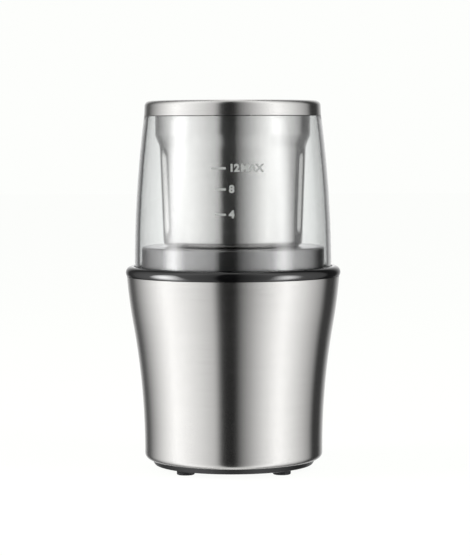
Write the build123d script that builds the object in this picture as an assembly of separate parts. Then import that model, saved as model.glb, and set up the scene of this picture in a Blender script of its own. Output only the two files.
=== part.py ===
"""Wet and dry grinder: a motor base, a lift-out steel bowl with its blade, and a clear lid that is
pressed down to run it.

Millimetres, +Z up. The origin lies on the grinder's axis, on the plane that its feet stand on, and
the front, with the bowl's scale, faces -Y. Every piece is built where it sits in the grinder.
"""

from build123d import *
import os
from math import atan2, cos, degrees, pi, radians, sin, sqrt, tan

# Clearances
fit_gap = 0.05  # between pieces that are pushed together
slide_gap = 0.3  # between pieces that move past each other
running_gap = 0.03  # between a shaft and its bush
overrun = 2.0  # how far a cut reaches past the face that it opens

# Feet
foot_proud = 2.5
foot_seat = 1.0
foot_radius = 5.0
foot_edge = 0.6
foot_inset = 8.9
foot_count = 4
foot_angle = 45.0

# Bottom cover
cover_rim_height = 3.1
cover_taper = 1.9
cover_edge = 0.8
cover_floor = 2.5
cover_wall = 1.6
cover_wall_height = 3.5
vent_count = 16
vent_width = 2.6
vent_length = 11.0
vent_circle = 20.0
pillar_radius = 4.8
pillar_height = 3.0

# Screws that hold the bottom cover to the deck
cover_screw_count = 3
cover_screw_angle = 30.0
cover_screw_radius = 1.6
cover_screw_length = 14.0
cover_head_radius = 3.0
cover_head_height = 2.0
cover_head_floor = 2.0
boss_radius = 3.8

# Steel shell of the base
shell_wall = 0.7
shell_height = 101.8
shell_foot_radius = 49.9
shell_corner = 3.5
shell_straight = 1.9
shell_lip = 1.4
shell_turn_height_share = 0.74
shell_turn_radius_share = 0.6425

# Collar ring
ring_reveal = 0.3
ring_height = 6.3
ring_width = 4.6
ring_flat = 1.4
ring_tuck = 0.45
ring_overhang = 0.65
ring_widest_share = 0.46
ring_lip = 1.3

# Top deck under the bowl
deck_step = 1.0
deck_shell_gap = 0.5
deck_lid_gap = 0.6
groove_floor = 2.5
groove_rest = 0.9
well_radius = 14.0
well_depth = 13.0
well_wall = 2.5
well_floor = 2.0
well_chamfer = 0.8
well_seal_wall = 2.0
pocket_rest = 0.4

# Bowl
bowl_base_height = 16.3
bowl_wall = 0.8
bowl_height = 73.2
bowl_foot_radius = 38.9
bowl_radius = 40.9
bowl_corner = 3.5
band_radius = 43.4
band_height = 11.2
shoulder_height = 6.6
shoulder_blend = 9.0
crease_blend = 2.0
flute_radius = 5.5
flute_depth = 2.2
flute_angles = (-22.5, 22.5, 157.5, 202.5)
flute_floor_gap = 10.5
flute_shoulder_gap = 6.0

# Skirt and core under the bowl
skirt_radius = 51.1
skirt_wall = 0.7
skirt_corner = 1.6
skirt_lift = 0.5
core_wall = 2.6
core_floor = 3.5
hub_radius = 11.0
hub_height = 9.0
core_rib_count = 6
core_rib = 1.6
core_rib_height = 6.0
lug_count = 3
lug_angle = 90.0
lug_span_angle = 14.0
lug_depth = 2.0

# Bush, gasket, nut and seal in the bowl's floor
bush_radius = 6.0
bush_flange_radius = 10.0
bush_flange = 1.5
bush_tail = 0.4
gasket = 0.7
clamp_nut_flats = 17.0
clamp_nut_height = 3.0
shaft_seal_radius = 5.0
shaft_seal_height = 0.9

# Blade and its shaft
spindle_radius = 3.0
spindle_top_gap = 1.5
spacer_radius = 7.0
spacer_height = 1.5
blade_sheet = 1.5
blade_reach = 33.0
blade_hub_radius = 7.5
blade_bend = 9.0
blade_neck_width = 9.6
blade_belly_width = 13.0
blade_belly_share = 0.3
blade_tip_width = 7.5
blade_bevel = 2.4
blade_grind_share = 0.8
blade_lift_angle = 14.0
blade_drop_angle = -7.0
cap_nut_flats = 10.0
cap_nut_skirt = 3.0
cap_nut_dome = 2.4
retainer_radius = 5.0
retainer_sheet = 0.6

# Coupling between motor and blade
coupling_radius = 10.0
coupling_core = 4.4
coupling_disc = 3.0
coupling_hub_radius = 6.0
coupling_hub_height = 3.2
dog_count = 3
dog_span_angle = 54.0
dog_height = 4.0
dog_rest = 0.5
spindle_dip = 3.2

# Lid
lid_skirt_gap = 1.5
lid_wall = 2.5
lid_ring_gap = 0.5
lid_sink = 3.5
lid_edge = 0.5
press_travel = 2.5
press_rest = 0.4
rim_cover = 0.5
neck_wall = 2.7
land_rise = 0.5
land_chamfer = 1.2

# Steel cap and the carrier inside it
cap_wall = 0.6
cap_corner = 1.8
cap_draft = 0.45
cap_neck_gap = 0.2
cap_set_in = 0.05
cap_reveal = 0.2
carrier_disc = 2.25
carrier_ring = 0.8
hook_count = 4
hook_span_angle = 24.0
hook_gap = 0.5
hook_hold = 0.9
hook_height = 1.0

# Inner lid and its seal
seal_sheet = 1.0
seal_lip = 1.6
seal_drop = 2.7
plate_flange = 1.0
pan_depth = 2.8
pan_wall = 1.4
pan_floor = 1.6
spring_radius = 8.0
spring_wire = 0.9
spring_turns = 3
spring_boss_height = 0.9
spring_boss_gap = 0.4

# Motor
shaft_radius = 3.0
fan_clearance = 2.5
fan_radius = 22.0
fan_height = 5.5
fan_disc = 1.2
fan_hub_radius = 6.0
fan_blade = 1.2
fan_blade_count = 12
fan_bracket_gap = 3.0
bracket_sheet = 3.0
bracket_hub_radius = 12.0
bracket_arm = 9.0
bracket_pad_radius = 5.0
bearing_radius = 6.0
bearing_length = 7.0
bearing_boss_radius = 8.6
lower_post = 19.0
upper_post = 8.0
post_radius = 3.4
post_centre_radius = 26.2
post_count = 4
post_angle = 45.0
bolt_radius = 1.5
bolt_gap = 0.2
bolt_head_radius = 2.8
bolt_head_height = 2.4
stack_height = 24.0
stator_radius = 29.0
stator_bore = 16.5
air_gap = 0.5
yoke = 5.5
pole_width = 14.0
shoe = 3.2
shoe_width = 29.0
coil_width = 25.0
coil_overhang = 5.0
coil_gap = 0.3
slot_count = 12
slot_radius = 2.1
slot_centre_radius = 11.6
slot_mouth = 1.4
winding_overhang = 4.7
winding_inner = 4.6
winding_outer = 14.2
winding_round = 2.0
commutator_radius = 9.5
commutator_step = 1.0
commutator_riser = 2.0
commutator_riser_radius = 11.0
commutator_groove = 0.6
commutator_groove_depth = 0.9

# Brush gear
brush_width = 6.0
brush_height = 8.0
brush_length = 8.5
brush_gap = 0.15
holder_wall = 1.2
holder_inner_end = 11.6
holder_outer_end = 24.0
brush_slide_gap = 0.1
brush_spring_radius = 2.2
brush_spring_wire = 0.6
brush_spring_turns = 3

# Motor mounts
mount_count = 3
mount_angle = 90.0
mount_circle = 37.0
mount_boss_radius = 5.0
damper_radius = 5.0
damper_height = 3.0
mount_screw_radius = 1.8
mount_screw_length = 14.0
mount_head_radius = 3.6
mount_head_height = 2.2

# Lid switch
plunger_radius = 1.6
sleeve_wall = 1.3
sleeve_length = 8.0
plunger_arm_width = 5.0
plunger_arm_sheet = 3.0
plunger_lid_gap = 0.3
switch_width = 20.0
switch_sheet = 6.4
switch_height = 10.0
switch_circle = 46.2
switch_offset = 4.0
switch_hole_pitch = 9.5
switch_hole_rise = 3.0
button_length = 3.2
button_width = 1.8
button_depth = 2.0
button_proud = 1.7
button_travel = 0.8
button_slide_gap = 0.1
switch_rib = 2.6
switch_rib_width = 16.0
switch_screw_radius = 1.4
switch_screw_head_radius = 2.5
switch_screw_head = 1.6
terminal_count = 3
terminal_pitch = 7.0
terminal_width = 3.2
terminal_sheet = 0.8
terminal_length = 5.0

# Cord inlet at the back
inlet_rise = 0.9
inlet_bore = 3.4
inlet_neck = 5.4
inlet_flange = 7.6
inlet_flange_height = 2.2
inlet_collar = 6.5
inlet_depth = 8.0
inlet_round = 0.8

# Heights, worked up from the floor
cover_bottom_z = foot_proud
cover_top_z = cover_bottom_z + cover_floor
pillar_top_z = cover_top_z + pillar_height
shell_bottom_z = cover_bottom_z + cover_rim_height
shell_top_z = shell_bottom_z + shell_height
ring_bottom_z = shell_top_z + ring_reveal
ring_top_z = ring_bottom_z + ring_height
deck_z = ring_bottom_z + deck_step
lid_bottom_z = ring_top_z - lid_sink
groove_z = lid_bottom_z - press_travel - groove_rest
deck_under_z = groove_z - groove_floor
well_floor_z = deck_z - well_depth
well_bottom_z = well_floor_z - well_floor
bowl_bottom_z = deck_z + bowl_base_height
bowl_floor_z = bowl_bottom_z + bowl_wall
rim_z = bowl_bottom_z + bowl_height
core_top_z = bowl_bottom_z - skirt_wall
hub_bottom_z = core_top_z - hub_height
bush_bottom_z = hub_bottom_z - clamp_nut_height - bush_tail
flange_bottom_z = bowl_floor_z + gasket
flange_top_z = flange_bottom_z + bush_flange
spacer_bottom_z = flange_top_z + slide_gap
blade_bottom_z = spacer_bottom_z + spacer_height
blade_top_z = blade_bottom_z + blade_sheet
cap_nut_top_z = blade_top_z + cap_nut_skirt + cap_nut_dome
retainer_top_z = bush_bottom_z - slide_gap
driven_top_z = retainer_top_z - retainer_sheet
driven_bottom_z = driven_top_z - coupling_disc
spindle_bottom_z = driven_bottom_z - spindle_dip
drive_dog_top_z = driven_bottom_z - dog_rest
drive_top_z = drive_dog_top_z - dog_height
drive_bottom_z = drive_top_z - coupling_disc - coupling_hub_height
shoulder_z = rim_z - rim_cover
plate_bottom_z = rim_z + seal_sheet
plate_top_z = plate_bottom_z + plate_flange
pan_top_z = plate_top_z - pan_depth
neck_top_z = plate_top_z + press_travel + press_rest
cap_top_z = neck_top_z + carrier_disc + fit_gap + cap_wall
cap_bottom_z = shoulder_z + cap_reveal
fan_bottom_z = cover_top_z + fan_clearance
fan_top_z = fan_bottom_z + fan_height
lower_bracket_z = fan_top_z + fan_bracket_gap
stator_bottom_z = lower_bracket_z + bracket_sheet + lower_post
stator_top_z = stator_bottom_z + stack_height
upper_bracket_z = stator_top_z + upper_post
damper_bottom_z = upper_bracket_z + bracket_sheet
damper_top_z = damper_bottom_z + damper_height
lower_bearing_z = lower_bracket_z + (bracket_sheet - bearing_length) / 2
upper_bearing_z = upper_bracket_z + (bracket_sheet - bearing_length) / 2
commutator_bottom_z = lower_bearing_z + bearing_length + commutator_step
commutator_top_z = stator_bottom_z - winding_overhang - coil_gap
brush_z = (commutator_bottom_z + commutator_top_z - commutator_riser) / 2
sleeve_bottom_z = deck_under_z - sleeve_length
arm_top_z = sleeve_bottom_z - slide_gap
arm_bottom_z = arm_top_z - plunger_arm_sheet
button_top_z = arm_bottom_z - press_travel + button_travel - button_slide_gap
switch_top_z = button_top_z - button_proud
switch_bottom_z = switch_top_z - switch_height
inlet_z = shell_bottom_z + cover_wall_height + inlet_collar + inlet_rise

# Radii, worked out from the axis
lid_inner_radius = skirt_radius + lid_skirt_gap
lid_outer_radius = lid_inner_radius + lid_wall
ring_inner_radius = lid_outer_radius + lid_ring_gap
ring_radius = ring_inner_radius + ring_width
shell_top_radius = ring_radius - ring_overhang
shell_flat_radius = shell_foot_radius - shell_corner
shell_lip_radius = shell_flat_radius - shell_lip
deck_radius = lid_inner_radius - deck_lid_gap
deck_outer_radius = shell_top_radius - shell_wall - deck_shell_gap
hook_inner_radius = band_radius + hook_gap
flange_radius = hook_inner_radius + hook_hold
carrier_inner_radius = flange_radius + slide_gap
carrier_outer_radius = carrier_inner_radius + carrier_ring
neck_inner_radius = carrier_outer_radius + fit_gap
neck_radius = neck_inner_radius + neck_wall
cap_radius = neck_radius + cap_neck_gap + cap_wall
shoulder_radius = cap_radius + cap_set_in
mouth_radius = band_radius - bowl_wall
seal_lip_radius = mouth_radius - slide_gap
pan_radius = seal_lip_radius - seal_lip - fit_gap
core_radius = skirt_radius - skirt_wall - fit_gap
plunger_circle = (deck_radius + ring_inner_radius) / 2
foot_circle = shell_flat_radius - foot_inset
cover_screw_circle = (stator_radius + shell_lip_radius) / 2
armature_radius = stator_bore - air_gap
yoke_inner_radius = stator_radius - yoke

up = (Align.CENTER, Align.CENTER, Align.MIN)
outwards = (Align.MIN, Align.CENTER, Align.CENTER)


def lathe(*edges):
    """Solid of revolution about the grinder's axis, from an outline of radius and height."""
    return revolve(Plane.XZ * make_face(edges), Axis.Z)


def lathe_corners(*corners):
    """Solid of revolution whose outline is straight from corner to corner."""
    return lathe(Polyline(*corners, close=True))


def spun_sheet(path, wall):
    """Sheet of one thickness, spun about the axis, that lies to the left of its path."""
    return revolve(Plane.XZ * make_face(offset(path, amount=wall, side=Side.LEFT)), Axis.Z)


def spun_solid(path):
    """Everything between a path and the axis."""
    low = path @ 0
    high = path @ 1
    roof = Line(high, (0, high.Y))
    axle = Line(roof @ 1, (0, low.Y))
    return lathe(path, roof, axle, Line(axle @ 1, low))


def tube(outer, inner, bottom, top):
    """Round sleeve on the axis between two heights."""
    ring = Circle(outer) - Circle(inner)
    return Pos(0, 0, bottom) * extrude(ring, top - bottom)


def round_bar(radius, bottom, top):
    """Round bar on the axis between two heights."""
    return Pos(0, 0, bottom) * Cylinder(radius, top - bottom, align=up)


def sector(outer, inner, sweep, bottom, top):
    """Piece of a ring, centred on +X, between two heights."""
    start = -sweep / 2
    rim = CenterArc((0, 0), outer, start, sweep)
    back = CenterArc((0, 0), inner, start, sweep)
    face = make_face([rim, back, Line(rim @ 0, back @ 0), Line(rim @ 1, back @ 1)])
    return Pos(0, 0, bottom) * extrude(face, top - bottom)


def around(piece, count, turn=0.0):
    """Copies of a piece, evenly spaced around the axis."""
    return [Rot(0, 0, turn + 360 / count * step) * piece for step in range(count)]


def around_at(piece, radius, count, turn=0.0):
    """Copies of an upright piece on a circle round the axis."""
    return around(Pos(radius, 0, 0) * piece, count, turn)


def helix_point(radius, pitch, turns):
    """Point of a helix that starts on +X, and its direction there."""
    angle = 2 * pi * turns
    point = Vector(radius * cos(angle), radius * sin(angle), pitch * turns)
    heading = Vector(-radius * sin(angle), radius * cos(angle), pitch / (2 * pi)).normalized()
    return point, heading


def turn_gap(radius, wire, pitch, turns):
    """Least gap between the turns of a coil, measured on points along its wire."""
    steps = 48
    points = [helix_point(radius, pitch, step / steps)[0] for step in range(turns * steps + 1)]
    half_turn = steps // 2
    spans = [(far - near).length for place, near in enumerate(points) for far in points[place + half_turn :]]
    return min(spans) - wire


def coil(radius, wire, pitch, turns):
    """Round wire wound into a coil, on pairs of arcs of an eighth of a turn each."""
    print(f"coil of {turns} turns: least gap {turn_gap(radius, wire, pitch, turns):.2f} mm")
    arcs = []
    quarters = turns * 4
    for quarter in range(quarters):
        start, start_heading = helix_point(radius, pitch, quarter / 4)
        end, end_heading = helix_point(radius, pitch, (quarter + 1) / 4)
        span = end - start
        reach = span.dot(start_heading + end_heading)
        spread = 2 - 2 * start_heading.dot(end_heading)
        arm = (sqrt(reach**2 + spread * span.dot(span)) - reach) / spread
        middle = (start + start_heading * arm + end - end_heading * arm) * 0.5
        arcs.append(TangentArc(start, middle, tangent=start_heading))
        arcs.append(TangentArc(middle, end, tangent=arcs[-1] % 1))
    first_point, first_heading = helix_point(radius, pitch, 0)
    section = Plane(first_point, z_dir=first_heading) * Circle(wire / 2)
    return sweep(section, Wire(arcs))


def hexagon(flats, bottom, top):
    """Hexagonal bar on the axis, by its width across flats."""
    corners = RegularPolygon(flats / 2, 6, major_radius=False)
    return Pos(0, 0, bottom) * extrude(corners, top - bottom)


def shell_path():
    """Outside of the steel shell, from its lip underneath to its top edge."""
    turn_z = shell_bottom_z + shell_height * shell_turn_height_share
    turn_radius = shell_foot_radius + (shell_top_radius - shell_foot_radius) * shell_turn_radius_share
    corner_top_z = shell_bottom_z + shell_corner
    lip = Line((shell_lip_radius, shell_bottom_z), (shell_flat_radius, shell_bottom_z))
    corner = TangentArc(lip @ 1, (shell_foot_radius, corner_top_z), tangent=(1, 0))
    upright = Line(corner @ 1, (shell_foot_radius, corner_top_z + shell_straight))
    lower = TangentArc(upright @ 1, (turn_radius, turn_z), tangent=(0, 1))
    upper = TangentArc(lower @ 1, (shell_top_radius, shell_top_z), tangent=lower % 1)
    return Wire([lip, corner, upright, lower, upper])


def bowl_path():
    """Outside of the bowl, from the hole in its floor to its rim."""
    return FilletPolyline(
        (bush_radius + fit_gap, bowl_bottom_z),
        (bowl_foot_radius, bowl_bottom_z),
        (bowl_radius, rim_z - band_height - shoulder_height),
        (band_radius, rim_z - band_height),
        (band_radius, rim_z),
        radius=[bowl_corner, shoulder_blend, crease_blend],
    )


def lid_arc_radius():
    """Radius of the arc that the lid's outside follows, upright at its lower edge."""
    rise = shoulder_z - lid_bottom_z
    lean = lid_outer_radius - shoulder_radius
    return (rise**2 + lean**2) / (2 * lean)


def lid_radius(height, depth):
    """Radius of the lid's wall at a height, at a depth below its outside."""
    arc = lid_arc_radius()
    return lid_outer_radius - arc + sqrt((arc - depth) ** 2 - (height - lid_bottom_z) ** 2)


def lid_shell():
    """Clear lid: one sweep from its wide lower edge to the neck that carries the cap."""
    land_z = shoulder_z + land_rise
    wall_top_z = land_z - land_chamfer
    lower_edge = Line((lid_inner_radius, lid_bottom_z), (lid_outer_radius, lid_bottom_z))
    outside = TangentArc(lower_edge @ 1, (shoulder_radius, shoulder_z), tangent=(0, 1))
    inner_top = (lid_radius(wall_top_z, lid_wall), wall_top_z)
    inside = TangentArc(lower_edge @ 0, inner_top, tangent=(0, 1))
    neck = Polyline(
        (shoulder_radius, shoulder_z),
        (neck_radius, shoulder_z),
        (neck_radius - cap_draft, neck_top_z),
        (neck_inner_radius, neck_top_z),
        (neck_inner_radius, land_z),
        inner_top,
    )
    shell = lathe(lower_edge, outside, neck, inside)
    return fillet(shell.edges().group_by(Axis.Z)[0], lid_edge)


def lid_cap():
    """Drawn steel cap over the lid's neck."""
    side_top_radius = cap_radius - cap_draft
    outside = FilletPolyline(
        (cap_radius, cap_bottom_z),
        (side_top_radius, cap_top_z),
        (0, cap_top_z),
        radius=cap_corner,
    )
    inside = FilletPolyline(
        (cap_radius - cap_wall, cap_bottom_z),
        (side_top_radius - cap_wall, cap_top_z - cap_wall),
        (0, cap_top_z - cap_wall),
        radius=cap_corner - cap_wall,
    )
    return lathe(outside, inside, Line(outside @ 0, inside @ 0), Line(outside @ 1, inside @ 1))


def cap_carrier():
    """Moulded carrier under the cap, with hooks that hold the inner lid."""
    hook_top_z = plate_bottom_z - slide_gap
    hook_bottom_z = hook_top_z - hook_height
    disc_radius = neck_radius - cap_draft
    disc_top_z = neck_top_z + carrier_disc
    disc = lathe_corners(
        (0, neck_top_z),
        (disc_radius, neck_top_z),
        (disc_radius, disc_top_z - cap_corner),
        (disc_radius - cap_corner, disc_top_z),
        (0, disc_top_z),
    )
    ring = tube(carrier_outer_radius, carrier_inner_radius, plate_top_z, neck_top_z)
    finger = sector(carrier_outer_radius, carrier_inner_radius, hook_span_angle, hook_bottom_z, plate_top_z)
    hook = sector(carrier_outer_radius, hook_inner_radius, hook_span_angle, hook_bottom_z, hook_top_z)
    boss = round_bar(
        spring_radius - spring_wire - spring_boss_gap, neck_top_z - spring_boss_height, neck_top_z
    )
    return disc + ring + around(finger + hook, hook_count) + boss


def seal_plate():
    """Inner lid: a shallow pan whose flange lies on the seal."""
    pan = lathe_corners(
        (0, pan_top_z - pan_floor),
        (pan_radius, pan_top_z - pan_floor),
        (pan_radius, plate_bottom_z),
        (flange_radius, plate_bottom_z),
        (flange_radius, plate_top_z),
        (pan_radius - pan_wall, plate_top_z),
        (pan_radius - pan_wall, pan_top_z),
        (0, pan_top_z),
    )
    boss = round_bar(
        spring_radius - spring_wire - spring_boss_gap, pan_top_z, pan_top_z + spring_boss_height
    )
    return pan + boss


def bowl_seal():
    """Silicone ring on the bowl's rim, with a lip inside its mouth."""
    inner = seal_lip_radius - seal_lip
    return lathe_corners(
        (inner, rim_z - seal_drop),
        (seal_lip_radius - seal_lip / 2, rim_z - seal_drop),
        (seal_lip_radius, rim_z - seal_drop / 2),
        (seal_lip_radius, rim_z),
        (band_radius, rim_z),
        (band_radius, plate_bottom_z),
        (inner, plate_bottom_z),
    )


def lid_spring():
    """Spring that lifts the lid off the inner lid again."""
    height = neck_top_z - pan_top_z - spring_wire - 2 * fit_gap
    winding = coil(spring_radius, spring_wire, height / spring_turns, spring_turns)
    return Pos(0, 0, pan_top_z + spring_wire / 2 + fit_gap) * winding


def flute_tools(radius):
    """Upright rounded bars, one for each flute pressed into the bowl's side."""
    rise = bowl_height - band_height - shoulder_height
    lean = degrees(atan2(bowl_radius - bowl_foot_radius, rise))
    length = rise - flute_floor_gap - flute_shoulder_gap
    foot = Pos(bowl_foot_radius + flute_radius - flute_depth, 0, bowl_bottom_z) * Rot(0, lean, 0)
    bar = Cylinder(radius, length, align=up) + Sphere(radius) + Pos(0, 0, length) * Sphere(radius)
    return [Rot(0, 0, angle) * foot * Pos(0, 0, flute_floor_gap) * bar for angle in flute_angles]


def bowl_shell():
    """Deep-drawn bowl whose flutes keep the thickness of the sheet."""
    path = bowl_path()
    wall = spun_sheet(path, bowl_wall)
    outside = flute_tools(flute_radius)
    inside = flute_tools(flute_radius + bowl_wall)
    flutes = (Part() + inside - outside) & spun_solid(path)
    return wall - outside + flutes


def bowl_skirt():
    """Steel skirt whose top carries the bowl's floor."""
    path = FilletPolyline(
        (skirt_radius, deck_z + skirt_lift),
        (skirt_radius, bowl_bottom_z),
        (bush_radius + fit_gap, bowl_bottom_z),
        radius=skirt_corner,
    )
    return spun_sheet(path, skirt_wall)


def lug(clearance, bottom, top):
    """Key on the core's lower edge, or with a clearance the pocket that takes it."""
    outer = core_radius + clearance
    widening = degrees(2 * clearance / core_radius)
    return sector(outer, core_radius - core_wall - clearance, lug_span_angle + widening, bottom, top)


def bowl_core():
    """Moulded core in the skirt, with the hub for the bush and keys that sit in the deck."""
    under_z = core_top_z - core_floor
    inner = core_radius - core_wall
    bore = bush_radius + fit_gap
    body = lathe_corners(
        (bore, core_top_z),
        (core_radius - skirt_corner, core_top_z),
        (core_radius, core_top_z - skirt_corner),
        (core_radius, deck_z),
        (inner, deck_z),
        (inner, under_z),
        (hub_radius, under_z),
        (hub_radius, hub_bottom_z),
        (bore, hub_bottom_z),
    )
    rib_start = (hub_radius + bore) / 2
    rib_end = core_radius - core_wall / 2
    rib = Pos(rib_start, 0, under_z - core_rib_height) * Box(
        rib_end - rib_start, core_rib, core_rib_height, align=(Align.MIN, Align.CENTER, Align.MIN)
    )
    lugs = around(lug(0, deck_z - lug_depth, deck_z), lug_count, lug_angle)
    return body + around(rib, core_rib_count, lug_angle) + lugs


def bowl_bush():
    """Flanged bush through the bowl's floor, with a recess for the shaft seal."""
    bore = spindle_radius + running_gap
    recess_z = flange_top_z - shaft_seal_height
    return lathe_corners(
        (bore, bush_bottom_z),
        (bush_radius, bush_bottom_z),
        (bush_radius, flange_bottom_z),
        (bush_flange_radius, flange_bottom_z),
        (bush_flange_radius, flange_top_z),
        (shaft_seal_radius, flange_top_z),
        (shaft_seal_radius, recess_z),
        (bore, recess_z),
    )


def clamp_nut():
    """Hexagonal nut that clamps bush, bowl, skirt and core together."""
    nut = hexagon(clamp_nut_flats, hub_bottom_z - clamp_nut_height, hub_bottom_z)
    return nut - round_bar(bush_radius + fit_gap, bush_bottom_z, core_top_z)


def shaft_seal():
    """Lip seal round the blade's shaft."""
    return tube(
        shaft_seal_radius - fit_gap,
        spindle_radius + running_gap,
        flange_top_z - shaft_seal_height,
        flange_top_z,
    )


def blade_shaft():
    """Shaft that carries the blade above the floor and the coupling below it."""
    top_z = cap_nut_top_z - spindle_top_gap
    return round_bar(spindle_radius, spindle_bottom_z, top_z)


def blade_wing(tilt):
    """One wing: a bent strip, cut to its outline and ground sharp on its leading edge."""
    half = blade_sheet / 2
    mitre = half * tan(radians(tilt) / 2)
    reach = blade_reach - blade_bend
    rise = reach * tan(radians(tilt))
    side = Polyline(
        (0, -half),
        (blade_bend + mitre, -half),
        (blade_reach, rise - half / cos(radians(tilt))),
        (blade_reach, rise + half / cos(radians(tilt))),
        (blade_bend - mitre, half),
        (0, half),
        close=True,
    )
    belly = blade_bend + reach * blade_belly_share
    outline = Polyline(
        (0, -blade_neck_width / 2),
        (blade_bend, -blade_neck_width / 2),
        (belly, -blade_belly_width / 2),
        (blade_reach, -blade_tip_width / 2),
        (blade_reach, blade_tip_width / 2),
        (belly, blade_belly_width / 2),
        (blade_bend, blade_neck_width / 2),
        (0, blade_neck_width / 2),
        close=True,
    )
    strip = extrude(Plane.XZ * make_face(side), blade_belly_width, both=True)
    wing = strip & extrude(make_face(outline), blade_reach, both=True)
    leading = wing.edges().filter_by(lambda edge: edge.center().Y > 0 and edge.center().X > belly)
    cutting_edge = leading.sort_by(Axis.Z)[0]
    return chamfer(cutting_edge, blade_bevel, blade_sheet * blade_grind_share)


def blade():
    """Two-wing blade, one wing bent up and the other down."""
    hub = Cylinder(blade_hub_radius, blade_sheet)
    wings = blade_wing(blade_lift_angle) + Rot(0, 0, 180) * blade_wing(blade_drop_angle)
    bore = Cylinder(spindle_radius + fit_gap, blade_sheet + overrun)
    return Pos(0, 0, blade_bottom_z + blade_sheet / 2) * (hub + wings - bore)


def blade_spacer():
    """Collar between the bush and the blade."""
    return tube(spacer_radius, spindle_radius + fit_gap, spacer_bottom_z, blade_bottom_z)


def blade_nut():
    """Domed cap nut on top of the blade."""
    skirt_top_z = blade_top_z + cap_nut_skirt
    base_radius = cap_nut_flats / 2
    arc = (base_radius**2 + cap_nut_dome**2) / (2 * cap_nut_dome)
    dome = Pos(0, 0, cap_nut_top_z - arc) * Sphere(arc)
    dome &= round_bar(base_radius, skirt_top_z, cap_nut_top_z)
    hole_top_z = cap_nut_top_z - spindle_top_gap + fit_gap
    body = hexagon(cap_nut_flats, blade_top_z, skirt_top_z) + dome
    return body - round_bar(spindle_radius + fit_gap, blade_top_z - overrun, hole_top_z)


def shaft_retainer():
    """Spring clip that keeps the shaft from lifting out of the bush."""
    gap = Box(retainer_radius, spindle_radius, retainer_sheet, align=outwards)
    ring = tube(retainer_radius, spindle_radius + fit_gap, driven_top_z, retainer_top_z)
    return ring - Pos(0, 0, (driven_top_z + retainer_top_z) / 2) * gap


def driven_coupling():
    """Upper half of the coupling, on the blade's shaft."""
    disc = round_bar(coupling_radius, driven_bottom_z, driven_top_z)
    dog_bottom_z = driven_bottom_z - dog_height
    dog = sector(coupling_radius, coupling_core, dog_span_angle, dog_bottom_z, driven_bottom_z)
    bore = round_bar(spindle_radius + fit_gap, driven_bottom_z - overrun, driven_top_z + overrun)
    return disc + around(dog, dog_count) - bore


def drive_coupling():
    """Lower half of the coupling, on the motor's shaft, with its dogs between the upper ones."""
    disc = round_bar(coupling_radius, drive_top_z - coupling_disc, drive_top_z)
    hub = round_bar(coupling_hub_radius, drive_bottom_z, drive_top_z)
    dog = sector(coupling_radius, coupling_core, dog_span_angle, drive_top_z, drive_dog_top_z)
    bore = round_bar(shaft_radius + fit_gap, drive_bottom_z - overrun, drive_top_z + overrun)
    return disc + hub + around(dog, dog_count, 180 / dog_count) - bore


def collar_ring():
    """Glossy ring that frames the lid's groove, with a lip that sits in the deck."""
    widest_z = ring_bottom_z + ring_height * ring_widest_share
    lip_radius = ring_inner_radius + ring_lip
    tuck = Line((lip_radius, ring_bottom_z), (ring_radius - ring_tuck, ring_bottom_z))
    flank = TangentArc((ring_radius, widest_z), tuck @ 1, tangent=(0, -1))
    crown = TangentArc((ring_radius, widest_z), (ring_inner_radius + ring_flat, ring_top_z), tangent=(0, 1))
    inside = Polyline(
        crown @ 1,
        (ring_inner_radius, ring_top_z),
        (ring_inner_radius, groove_z),
        (lip_radius, groove_z),
        tuck @ 0,
    )
    return lathe(tuck, flank, crown, inside)


def deck_body():
    """Turned form of the deck: platform, lid groove, ring seat and coupling well."""
    seat_radius = ring_inner_radius + ring_lip + fit_gap
    shaft_hole = shaft_radius + well_seal_wall
    return lathe_corners(
        (well_radius, deck_z - well_chamfer),
        (well_radius + well_chamfer, deck_z),
        (deck_radius, deck_z),
        (deck_radius, groove_z),
        (seat_radius, groove_z),
        (seat_radius, ring_bottom_z),
        (deck_outer_radius, ring_bottom_z),
        (deck_outer_radius, deck_under_z),
        (well_radius + well_wall, deck_under_z),
        (well_radius + well_wall, well_bottom_z),
        (shaft_hole, well_bottom_z),
        (shaft_hole, well_floor_z),
        (well_radius, well_floor_z),
    )


def top_deck():
    """Deck that closes the base, with bosses for cover and motor and a guide for the plunger."""
    cover_boss = round_bar(boss_radius, pillar_top_z, deck_under_z)
    cover_pilot = round_bar(
        cover_screw_radius + fit_gap, pillar_top_z - overrun, pillar_top_z + cover_screw_length
    )
    mount_boss = round_bar(mount_boss_radius, damper_top_z, deck_under_z)
    mount_pilot = round_bar(
        mount_screw_radius + fit_gap, damper_top_z - overrun, damper_bottom_z + mount_screw_length
    )
    sleeve = Pos(plunger_circle, 0, 0) * round_bar(
        plunger_radius + slide_gap + sleeve_wall, sleeve_bottom_z, deck_under_z
    )
    sleeve_bore = Pos(plunger_circle, 0, 0) * round_bar(
        plunger_radius + slide_gap, sleeve_bottom_z - overrun, groove_z + overrun
    )
    pocket = lug(slide_gap, deck_z - lug_depth - pocket_rest, deck_z + overrun)
    deck = deck_body() + sleeve + switch_rib_plate()
    deck += around_at(cover_boss, cover_screw_circle, cover_screw_count, cover_screw_angle)
    deck += around_at(mount_boss, mount_circle, mount_count, mount_angle)
    deck -= around_at(cover_pilot, cover_screw_circle, cover_screw_count, cover_screw_angle)
    deck -= around_at(mount_pilot, mount_circle, mount_count, mount_angle)
    deck -= around(pocket, lug_count, lug_angle)
    deck -= sleeve_bore
    return deck - switch_bores(switch_screw_radius + fit_gap)


def well_seal():
    """Rubber ring that keeps liquid in the well away from the motor."""
    inner = shaft_radius + slide_gap
    return tube(shaft_radius + well_seal_wall - fit_gap, inner, well_bottom_z, well_floor_z)


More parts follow.
